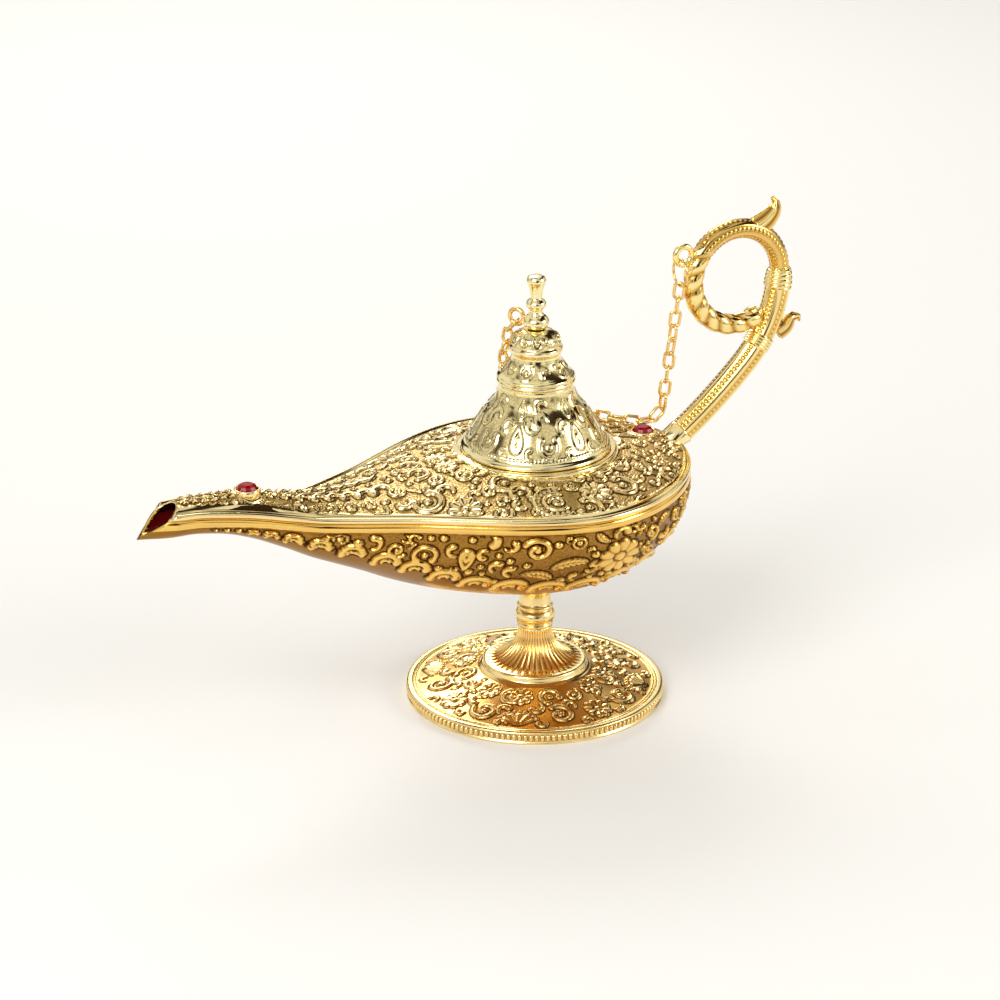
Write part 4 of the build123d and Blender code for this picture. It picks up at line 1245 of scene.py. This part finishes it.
# the tone falls to the dark line in the grooves between barrels: painted shade
knurl = (knurl_places, blended(0.2, 0.85, bead) + 0 * knurl_r, 0 * knurl_r)
foot_shape = formed("foot", [(foot_formed, foot_tone, 0 * disc_fade), knurl])
finish_piece("foot_casting", foot_shape, foot_gold, "lamp", ["foot"])

# %% [markdown]
# The collar is a turned part: a thin ring, a barrel bead, another ring and a neck that flares
# under the bowl. Blender's spin turns its profile, and so it does the finial's on the lid.

# %% Collar and finial
collar_profile = np.concatenate(
    [
        rounded([(1.7, 22.5), (5.3, 22.5), (5.6, 22.8), (5.6, 23.5), (5.3, 23.8), (5.1, 23.9)]),
        arc_through((5.3, 24.0), (6.3, 26.1), (5.3, 28.2), 14),
        rounded([(5.0, 28.35), (5.35, 28.5), (5.6, 28.8), (5.6, 29.3), (5.3, 29.6), (4.9, 29.8)]),
        arc_through((4.9, 29.8), (5.4, 34.6), (8.2, 37.1), 18),
        [(8.5, 37.3), (8.5, 37.5), (1.7, 37.5)],
    ]
)
collar_shape = turned_points(collar_profile, steps=128)
finish_piece("collar", collar_shape, foot_gold, "lamp", ["stem_collar"])
finial_profile = np.concatenate(
    [
        [(0.0, 118.3), (2.4, 118.3)],
        arc_through((2.6, 118.4), (4.0, 120.6), (2.6, 122.7), 16),
        [(2.3, 122.8), (2.3, 123.1), (1.9, 123.3), (1.9, 124.3)],
        arc_through((2.1, 124.5), (3.1, 126.1), (2.1, 127.6), 14),
        arc_through((1.8, 127.7), (2.05, 130.2), (2.9, 132.9), 14),
        [(3.0, 133.1), (3.0, 133.6), (2.7, 134.2)],
        arc_through((2.7, 134.2), (1.9, 134.85), (0.0, 135.0), 6),
    ]
)
finial_shape = turned_points(finial_profile)
finish_piece("finial_casting", finial_shape, lid_gold, "lid", ["finial"])

# %% [markdown]
# The lid is a hollow casting too. Its profile goes up the outside, from the spigot in the seat
# over the flared cone, waist, neck and bulb, and down the inside again.

# %% Lid profile
CONE_KNOTS = np.array([(21.8, 82.6), (16.3, 92.4), (12.5, 97.1), (11.2, 102.2)])
INSIDE_ROWS = 12
cone_z = np.linspace(82.9, 101.6, 74)
cone_r = smooth_curve(CONE_KNOTS[:, 1], CONE_KNOTS[:, 0], cone_z)
lid_profile = np.concatenate(
    [
        [(19.6, 76.0), (20.9, 76.0), (20.9, 78.5), (20.9, 81.0), (22.4, 81.0), (22.75, 81.3)],
        [(22.8, 81.7), (22.6, 82.2), (22.1, 82.5), (21.9, 82.65)],
        np.stack([cone_r, cone_z], axis=1),
        [(11.2, 101.8), (11.6, 102.0), (11.9, 102.4), (11.9, 102.9), (11.6, 103.2)],
        [(11.45, 103.35), (11.7, 103.6), (11.8, 104.0), (11.6, 104.4), (11.2, 104.6)],
        arc_through((11.2, 104.6), (8.85, 107.2), (7.5, 109.8), 24),
        [(7.3, 110.4), (7.4, 111.1), (7.8, 111.4), (8.1, 111.8), (8.1, 112.8), (7.9, 113.2)],
        [(7.2, 113.5)],
        arc_through((7.2, 113.5), (6.5, 116.6), (3.4, 118.3), 20),
        [(1.55, 118.3), (1.55, 113.4)],
        rounded([(6.0, 109.8), (9.7, 102.2), (13.6, 91.0), (19.6, 82.6), (19.6, 76.0)], [2] * 4),
    ]
)
lid_places, lid_az, lid_r = turned_sheet(lid_profile, 480)
lid_z = lid_places[:, :, 2]
print("lid rows:", len(lid_profile))

# %% [markdown]
# Six sectors go round the cone, each with a teardrop between two C-scrolls and curling leaves
# above. Beaded lines bound the cone, plain rings mark waist and shoulder, and neck and bulb
# carry smaller scrolls.

# %% Lid carving
LID_RELIEF, LID_SINK = 0.34, 0.08
# heights where the carving of cone, neck and bulb rises and falls
LID_FIELDS = (
    ((83.2, 83.8), (100.6, 101.2)),
    ((104.9, 105.4), (109.2, 109.7)),
    ((113.6, 114.0), (117.4, 118.0)),
)
BEAD_LINE_Z, BEAD_HALF, BEAD_RISE, BEADS_ROUND = 83.9, 0.45, 0.25, 120
outside = np.arange(len(lid_profile))[:, None] < len(lid_profile) - INSIDE_ROWS
lid_rows = []
for sector in range(6):
    base = -135 + 60 * sector
    lid_rows += [
        ("drop", base, 89.0, 3.6, 0, 1),
        ("crescent", base + 30, 87.4, 3.6, 90, 1),
        ("comma", base - 13, 92.6, 3.0, 115, 1),
        ("comma", base + 13, 92.6, 3.0, 65, -1),
        ("comma", base + 24, 94.4, 3.2, 95, 1),
        ("comma", base + 24, 98.2, 2.8, 95, 1),
        ("drop", base, 96.8, 2.4, 0, 1),
        ("comma", base + 12, 85.4, 2.2, 30, -1),
        ("comma", base - 12, 85.4, 2.2, 150, 1),
    ]
for sector in range(5):
    base = 72 * sector
    lid_rows += [
        ("crescent", base + 8, 107.2, 2.4, 90, 1),
        ("comma", base + 44, 107.3, 2.2, 100, 1 if sector % 2 else -1),
        ("crescent", base + 30, 115.6, 2.0, 90, 1),
        ("comma", base + 66, 115.6, 1.9, 80, -1),
    ]
lid_height = carve_turned(lid_az, lid_r, lid_z, lid_rows)
lid_field = outside * sum(window(lid_z, rise, fall) for rise, fall in LID_FIELDS)
off_line = lid_z - BEAD_LINE_Z
bead_rise = np.sqrt(np.clip(1 - (off_line / BEAD_HALF) ** 2, 0, 1))
bead_row = np.abs(np.cos(lid_az * BEADS_ROUND / 2)) ** 0.5
lid_beads = np.where(outside & (np.abs(off_line) < BEAD_HALF), bead_rise * bead_row, 0)
lid_lift = lid_field * (LID_RELIEF * lid_height - LID_SINK) + BEAD_RISE * lid_beads
lid_formed = lid_places + outward(lid_places) * lid_lift[:, :, None]
# the dark line round each stroke is antiquing and painted shade
carved_tone = antiquing_and_painted_shade(lid_height * lid_field, 0.75) * lid_field
lid_tone = np.clip(carved_tone + (1 - lid_field) + lid_beads, 0, 1)
lid_shape = formed("lid", [(lid_formed, lid_tone, lid_field)])
finish_piece("lid_casting", lid_shape, lid_gold, "lid", ["lid_cone"])

# %% [markdown]
# The handle follows the CAD's three tangent arcs: a nearly straight stem, a bend and a loop of
# nearly a full turn. A Bezier curve with a bevel would be quicker, but its cross-section
# couldn't change from ridges to rope along the way, so a sheet is swept instead.

# %% Handle line
HANDLE_ARCS = ((183.0, 8.8), (43.0, 41.5), (15.2, 301.0))
LOOP_RADIUS = HANDLE_ARCS[2][0]
STEM_TUBE, LOOP_TUBE = 3.5, 2.75


def handle_line(lengths):
    """Places and headings along the handle's line at the given lengths."""
    x, z, heading = ROOT_X, ROOT_Z, ROOT_HEADING
    places = np.stack([x + lengths * math.cos(heading), z + lengths * math.sin(heading)], axis=1)
    headings = np.full(lengths.shape, heading)
    travelled = 0.0
    for radius, turn in HANDLE_ARCS:
        swept = math.radians(turn)
        beyond = lengths >= travelled
        facing = heading + np.clip((lengths - travelled) / radius, 0, swept)
        over = np.maximum(lengths - travelled - radius * swept, 0)
        centre_x, centre_z = x - radius * math.sin(heading), z + radius * math.cos(heading)
        new_x = centre_x + radius * np.sin(facing) + over * np.cos(facing)
        new_z = centre_z - radius * np.cos(facing) + over * np.sin(facing)
        places[beyond] = np.stack([new_x, new_z], axis=1)[beyond]
        headings[beyond] = facing[beyond]
        x = centre_x + radius * math.sin(heading + swept)
        z = centre_z - radius * math.cos(heading + swept)
        heading += swept
        travelled += radius * swept
    return places, headings


STEM_LENGTH = sum(radius * math.radians(turn) for radius, turn in HANDLE_ARCS[:2])
LINE_LENGTH = STEM_LENGTH + LOOP_RADIUS * math.radians(HANDLE_ARCS[2][1])
stem_s = np.linspace(-0.4, STEM_LENGTH + 4, 380)
loop_s = np.linspace(STEM_LENGTH + 4, LINE_LENGTH + 1.9, 460)[1:]
handle_s = np.concatenate([stem_s, loop_s])
centres, headings = handle_line(handle_s)
print("handle line ends at", centres[-1].round(1))

# %% [markdown]
# The stem has long ridges with dotted rows between them, a wire-wrapped band half way and a
# chevron binding at the loop. The loop starts beaded and ends twisted like rope. Each is a
# small height round and along the tube, and soft steps lead from one to the next.

# %% Handle surface
COLUMNS, DOT_PITCH, ROPE_PITCH = 72, 1.5, 0.62
BAND_AT, CHEVRON_AT = 0.62 * STEM_LENGTH, 0.97 * STEM_LENGTH
around = np.linspace(0, FULL_TURN, COLUMNS + 1)[None, :]
s_row = handle_s[:, None]

into_loop = blended(STEM_LENGTH - 3, STEM_LENGTH + 3, s_row)
lower_loop = blended(STEM_LENGTH + 34, STEM_LENGTH + 42, s_row)
ribs = np.abs(np.cos(around * 3 + 0.5))
dots = (np.abs(np.sin(around * 3 + 0.5)) > 0.9) * np.abs(np.sin(s_row * math.pi / DOT_PITCH))
stem_form = 0.5 * ribs**1.6 + 0.34 * dots
beaded_loop = 0.3 * ribs**1.4 + 0.28 * dots
twisted_loop = 0.5 * np.abs(np.sin(around + s_row * ROPE_PITCH)) ** 0.8
loop_form = beaded_loop * (1 - lower_loop) + twisted_loop * lower_loop
wrap = 0.55 + 0.42 * np.abs(np.sin((s_row - BAND_AT) * math.pi))
chevron_turn = (s_row - CHEVRON_AT) * 2.2 + 1.4 * np.abs(around - math.pi)
chevrons = 0.45 + 0.45 * np.abs(np.sin(chevron_turn))
on_band = window(s_row - BAND_AT, (-2.3, -1.9), (1.9, 2.3))
on_chevron = window(s_row - CHEVRON_AT, (-3.2, -2.9), (2.9, 3.2))
form = stem_form * (1 - into_loop) + loop_form * into_loop
form = form * (1 - on_band) * (1 - on_chevron) + wrap * on_band + chevrons * on_chevron

tail = np.sqrt(np.clip(1 - np.clip((s_row - LINE_LENGTH - 0.2) / 1.7, 0, 1) ** 2, 0, 1))
start = blended(-0.4, 0.1, s_row)
tube = (STEM_TUBE + (LOOP_TUBE - STEM_TUBE) * into_loop + form) * tail * start
side_x, side_z = -np.sin(headings)[:, None], np.cos(headings)[:, None]
handle_places = np.stack(
    [
        centres[:, :1] + side_x * np.cos(around) * tube,
        np.sin(around) * tube,
        centres[:, 1:] + side_z * np.cos(around) * tube,
    ],
    axis=2,
)
# low parts of the pattern are painted darker: antiquing and painted shade in the grooves
handle_tone = np.clip(0.15 + form * 1.9, 0, 1) + 0 * tube
sheets = [(handle_places, handle_tone, 0 * tube)]
print("handle rows:", len(handle_s))

# %% [markdown]
# Two curled leaves and the eye for the chain are cast on. A leaf is a short tapered tube along a
# bent line, flattened and lobed. The eye is a plain ring.


# %% Leaves, eye and handle casting
def horn(points, radii, flat, lobes, columns=28, steps=40):
    """A leaf as a tapered tube through points of the XZ plane, flattened across Y and lobed."""
    points = np.array(points, float)
    knots = np.linspace(0, 1, len(points))
    share = np.linspace(0, 1, steps)
    x = smooth_curve(knots, points[:, 0], share)
    z = smooth_curve(knots, points[:, 1], share)
    radius = smooth_curve(knots, np.array(radii, float), share)
    radius[0] = radius[-1] = 0
    run_x, run_z = np.gradient(x), np.gradient(z)
    length = np.hypot(run_x, run_z)
    turn = np.linspace(0, FULL_TURN, columns + 1)[None, :]
    lobe = np.cos(turn * lobes)
    reach = radius[:, None] * (1 + 0.13 * lobe)
    places = np.stack(
        [
            x[:, None] - (run_z / length)[:, None] * np.cos(turn) * reach,
            np.sin(turn) * reach * flat,
            z[:, None] + (run_x / length)[:, None] * np.cos(turn) * reach,
        ],
        axis=2,
    )
    # the dips between the lobes are painted darker: painted shade
    return places, np.clip(0.6 + 0.5 * lobe, 0, 1) + 0 * reach, 0 * reach


def wire_ring(centre, axes, reach, wire, steps=12):
    """A round wire ring about a centre, in the plane of the first two axes."""
    turns, steps_round = np.linspace(0, FULL_TURN, 49), np.linspace(0, FULL_TURN, steps + 1)
    turn, round_turn = np.meshgrid(turns, steps_round, indexing="ij")
    out = reach + wire * np.cos(round_turn)
    return plain_sheet(
        centre
        + (out * np.cos(turn))[:, :, None] * axes[0]
        + (out * np.sin(turn))[:, :, None] * axes[1]
        + (wire * np.sin(round_turn))[:, :, None] * axes[2]
    )


TOP_LEAF = ((74.6, 139.2), (78.4, 141.2), (81.2, 144.0), (81.7, 146.6), (80.3, 148.5))
TAIL_LEAF = ((83.6, 104.4), (86.6, 106.0), (89.0, 108.5), (91.1, 108.5), (91.85, 106.7))
EYE_RADIUS, EYE_WIRE, EYE_GAP, EYE_AT = 2.8, 0.95, 2.9, math.radians(153.6)
FLAT_AXES = np.array([(1, 0, 0), (0, 0, 1), (0, 1, 0)])
sheets.append(horn(TOP_LEAF, (3.4, 3.2, 2.4, 1.4, 0.4), 0.7, 5))
sheets.append(horn(TAIL_LEAF, (2.8, 2.5, 1.6, 0.9, 0.4), 0.75, 5))
loop_start = math.radians(87.3)
loop_centre = centres[np.argmin(np.abs(handle_s - STEM_LENGTH))] + LOOP_RADIUS * np.array(
    [-math.sin(loop_start), math.cos(loop_start)]
)
eye_reach = LOOP_RADIUS + EYE_GAP + EYE_RADIUS
eye_x = loop_centre[0] + eye_reach * math.cos(EYE_AT)
eye_z = loop_centre[1] + eye_reach * math.sin(EYE_AT)
sheets.append(wire_ring(np.array([eye_x, 0, eye_z]), FLAT_AXES, EYE_RADIUS, EYE_WIRE, 16))
finish_piece("handle_casting", formed("handle", sheets), handle_gold, "lamp", ["handle"])

# %% [markdown]
# Each chain link is bent from drawn wire. The CAD node gives its middle and its axes, and a
# round wire runs along the link's oval. The jump ring and the lid's eye are plain wire rings.

# %% Chain
LINK_HALF, LINK_ROUND, WIRE = 1.1, 1.52, 0.52
RING_WIRE, LID_EYE_WIRE = 0.42, 0.7
LINK_STEPS, LINK_STEPS_ROUND = 32, 10


def node_axes(spots, centre):
    """The axes of a node's corners, from the longest to the shortest spread."""
    _, _, axes = np.linalg.svd(spots - centre, full_matrices=False)
    return axes


def link_sheet(node):
    """A round-wire oval at the place of a CAD link."""
    spots = rows_of(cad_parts[node].data.vertices, "co") / MM
    centre = spots.mean(axis=0)
    along, across, face = node_axes(spots, centre)
    turn = np.linspace(0, FULL_TURN, LINK_STEPS + 1)[:, None]
    ring = np.linspace(0, FULL_TURN, LINK_STEPS_ROUND + 1)[None, :]
    straight = LINK_HALF * np.sign(np.round(np.cos(turn), 9))
    reach = LINK_ROUND + WIRE * np.cos(ring)
    return plain_sheet(
        centre
        + (straight + np.cos(turn) * reach)[:, :, None] * along
        + (np.sin(turn) * reach)[:, :, None] * across
        + (WIRE * np.sin(ring) + 0 * turn)[:, :, None] * face
    )


def ring_sheet(node, wire):
    """A round wire ring at the place of a CAD ring."""
    spots = rows_of(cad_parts[node].data.vertices, "co") / MM
    centre = (spots.max(axis=0) + spots.min(axis=0)) / 2
    reach = np.linalg.norm(spots - centre, axis=1).max() - wire
    return wire_ring(centre, node_axes(spots, centre), reach, wire)


names = sorted(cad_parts)
hanging = [n for n in names if n.startswith("hang_link")] + [f"deck_link_{k}" for k in (1, 2, 3)]
on_deck = [n for n in names if n.startswith("deck_link") and n not in hanging]
on_lid = [n for n in names if n.startswith("lid_link")]
for name, links, rings, body in (
    ("chain_hanging", hanging, ["chain_ring"], "hanging_chain"),
    ("chain_on_deck", on_deck, [], "deck_chain"),
    ("chain_on_lid", on_lid, [], "lid"),
):
    parts = [link_sheet(node) for node in links] + [ring_sheet(node, RING_WIRE) for node in rings]
    finish_piece(name, formed(name, parts), wire_gold, body, links + rings)
lid_eye = formed("lid_eye", [ring_sheet("lid_eye", LID_EYE_WIRE)])
finish_piece("lid_ring_eye", lid_eye, wire_gold, "lid", ["lid_eye"])

# %% [markdown]
# The gems are moulded glass: a table, two rows of facets and a pavilion below, spun in twelve
# steps and shaded flat. The screws, the washer and the stud are hidden in use and keep their
# CAD form with a steel finish.

# %% Gems and screws
for node, gem_x in zip(("spout_gem", "deck_gem"), GEM_XS):
    base, top = (corner.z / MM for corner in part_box(node))
    girdle = [(0.0, base + 0.05), (2.9, base + 0.1), (3.15, base + 0.9)]
    facets = girdle + [(2.65, top - 0.45), (1.75, top), (0.0, top)]
    gem_shape = turned_points(facets, (gem_x, 0.0), 12)
    finish_piece(
        node + "_glass", gem_shape, ruby_glass, "lamp", [node], smooth=False
    )
for node in ("foot_screw", "foot_washer", "handle_screw", "finial_stud"):
    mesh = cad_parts[node].data
    mesh.materials.clear()
    mesh.materials.append(steel)

# %% [markdown]
# The camera's place and lens were worked out from the round foot and the level rim. It has a
# long lens, so the lamp keeps its proportions.

# %% Camera
EYE = Vector((-443.1, -860.8, 448.6)) * MM
YAW, PITCH, LENS = math.radians(26.6), math.radians(21.7), 123.5
ahead_x, ahead_y = math.sin(YAW) * math.cos(PITCH), math.cos(YAW) * math.cos(PITCH)
look = Vector((ahead_x, ahead_y, -math.sin(PITCH)))
camera_data = bpy.data.cameras.new("camera")
camera_data.lens = LENS
camera_data.sensor_width = 36.0
camera_data.clip_start = 0.05
camera = bpy.data.objects.new("camera", camera_data)
camera.location = EYE
camera.rotation_euler = look.to_track_quat("-Z", "Y").to_euler()
bpy.context.scene.collection.objects.link(camera)
bpy.context.scene.camera = camera
print("camera at", [round(v / MM) for v in EYE])

# %% [markdown]
# The floor is matt white paint. Its own light is only a trace, for camera, glossy and
# transmission rays, so that it still takes the lamp's shadow.

# %% Floor
FLOOR_GLOW, FLOOR_SIZE = 0.02, 3.0
bpy.context.scene.view_settings.view_transform = "Standard"
floor_material, floor_tree, floor_shader = new_material(
    "painted_studio_floor", Base_Color=linear("#F1F0EE"), Roughness=0.8
)
rays = add_node(floor_tree, "ShaderNodeLightPath").outputs
seen_by = rays["Is Camera Ray"]
for kind in ("Is Glossy Ray", "Is Transmission Ray"):
    seen_by = add_node(
        floor_tree, "ShaderNodeMath", {0: seen_by, 1: rays[kind]}, operation="ADD"
    ).outputs[0]
glow = add_node(floor_tree, "ShaderNodeMath", {0: seen_by, 1: FLOOR_GLOW}, operation="MULTIPLY")
floor_shader.inputs["Emission Color"].default_value = linear("#FFFFFF")
floor_tree.links.new(glow.outputs[0], floor_shader.inputs["Emission Strength"])
floor_shape = bmesh.new()
bmesh.ops.create_grid(floor_shape, x_segments=1, y_segments=1, size=FLOOR_SIZE)
floor_mesh = bpy.data.meshes.new("floor")
floor_shape.to_mesh(floor_mesh)
floor_shape.free()
floor_mesh.materials.append(floor_material)
floor = bpy.data.objects.new("floor", floor_mesh)
bpy.context.scene.collection.objects.link(floor)
print("floor side in mm:", 2 * FLOOR_SIZE / MM)

# %% [markdown]
# Polished gold shows what stands round it. In a studio these are pale screens with dark gaps
# between, and a noise ramp in the world gives both, so that the gold has white and brown to
# mirror. A large soft lamp shines from the upper left, a second from the right and one from
# behind.

# %% World and lamps
SCREEN_SCALE, SCREEN_LIGHT = 2.1, 0.95
world = bpy.data.worlds.new("studio")
bpy.context.scene.world = world
world.use_nodes = True
world_tree = world.node_tree
background = world_tree.nodes["Background"]
direction = add_node(world_tree, "ShaderNodeTexCoord").outputs["Generated"]
room = add_node(
    world_tree, "ShaderNodeTexNoise", {"Vector": direction, "Scale": SCREEN_SCALE, "Detail": 1.0}
)
screens = add_node(world_tree, "ShaderNodeValToRGB", {"Fac": room.outputs["Fac"]})
for element, position, code in zip(
    screens.color_ramp.elements, (0.43, 0.51), ("#2E1F10", "#F2EFE6")
):
    element.position = position
    element.color = linear(code)
world_tree.links.new(screens.outputs["Color"], background.inputs["Color"])
background.inputs["Strength"].default_value = SCREEN_LIGHT
for name, place, size, power in (
    ("key", (-0.85, -0.55, 0.85), 0.6, 8.0),
    ("fill", (0.95, -0.75, 0.6), 0.5, 4.5),
    ("back", (0.25, 0.95, 0.8), 0.5, 4.5),
):
    data = bpy.data.lights.new(name, "AREA")
    data.size = size
    data.energy = power
    lamp = bpy.data.objects.new(name, data)
    lamp.location = place
    to_middle = Vector((0, 0, 0.07)) - Vector(place)
    lamp.rotation_euler = to_middle.to_track_quat("-Z", "Y").to_euler()
    bpy.context.scene.collection.objects.link(lamp)
print("world and three lamps set")
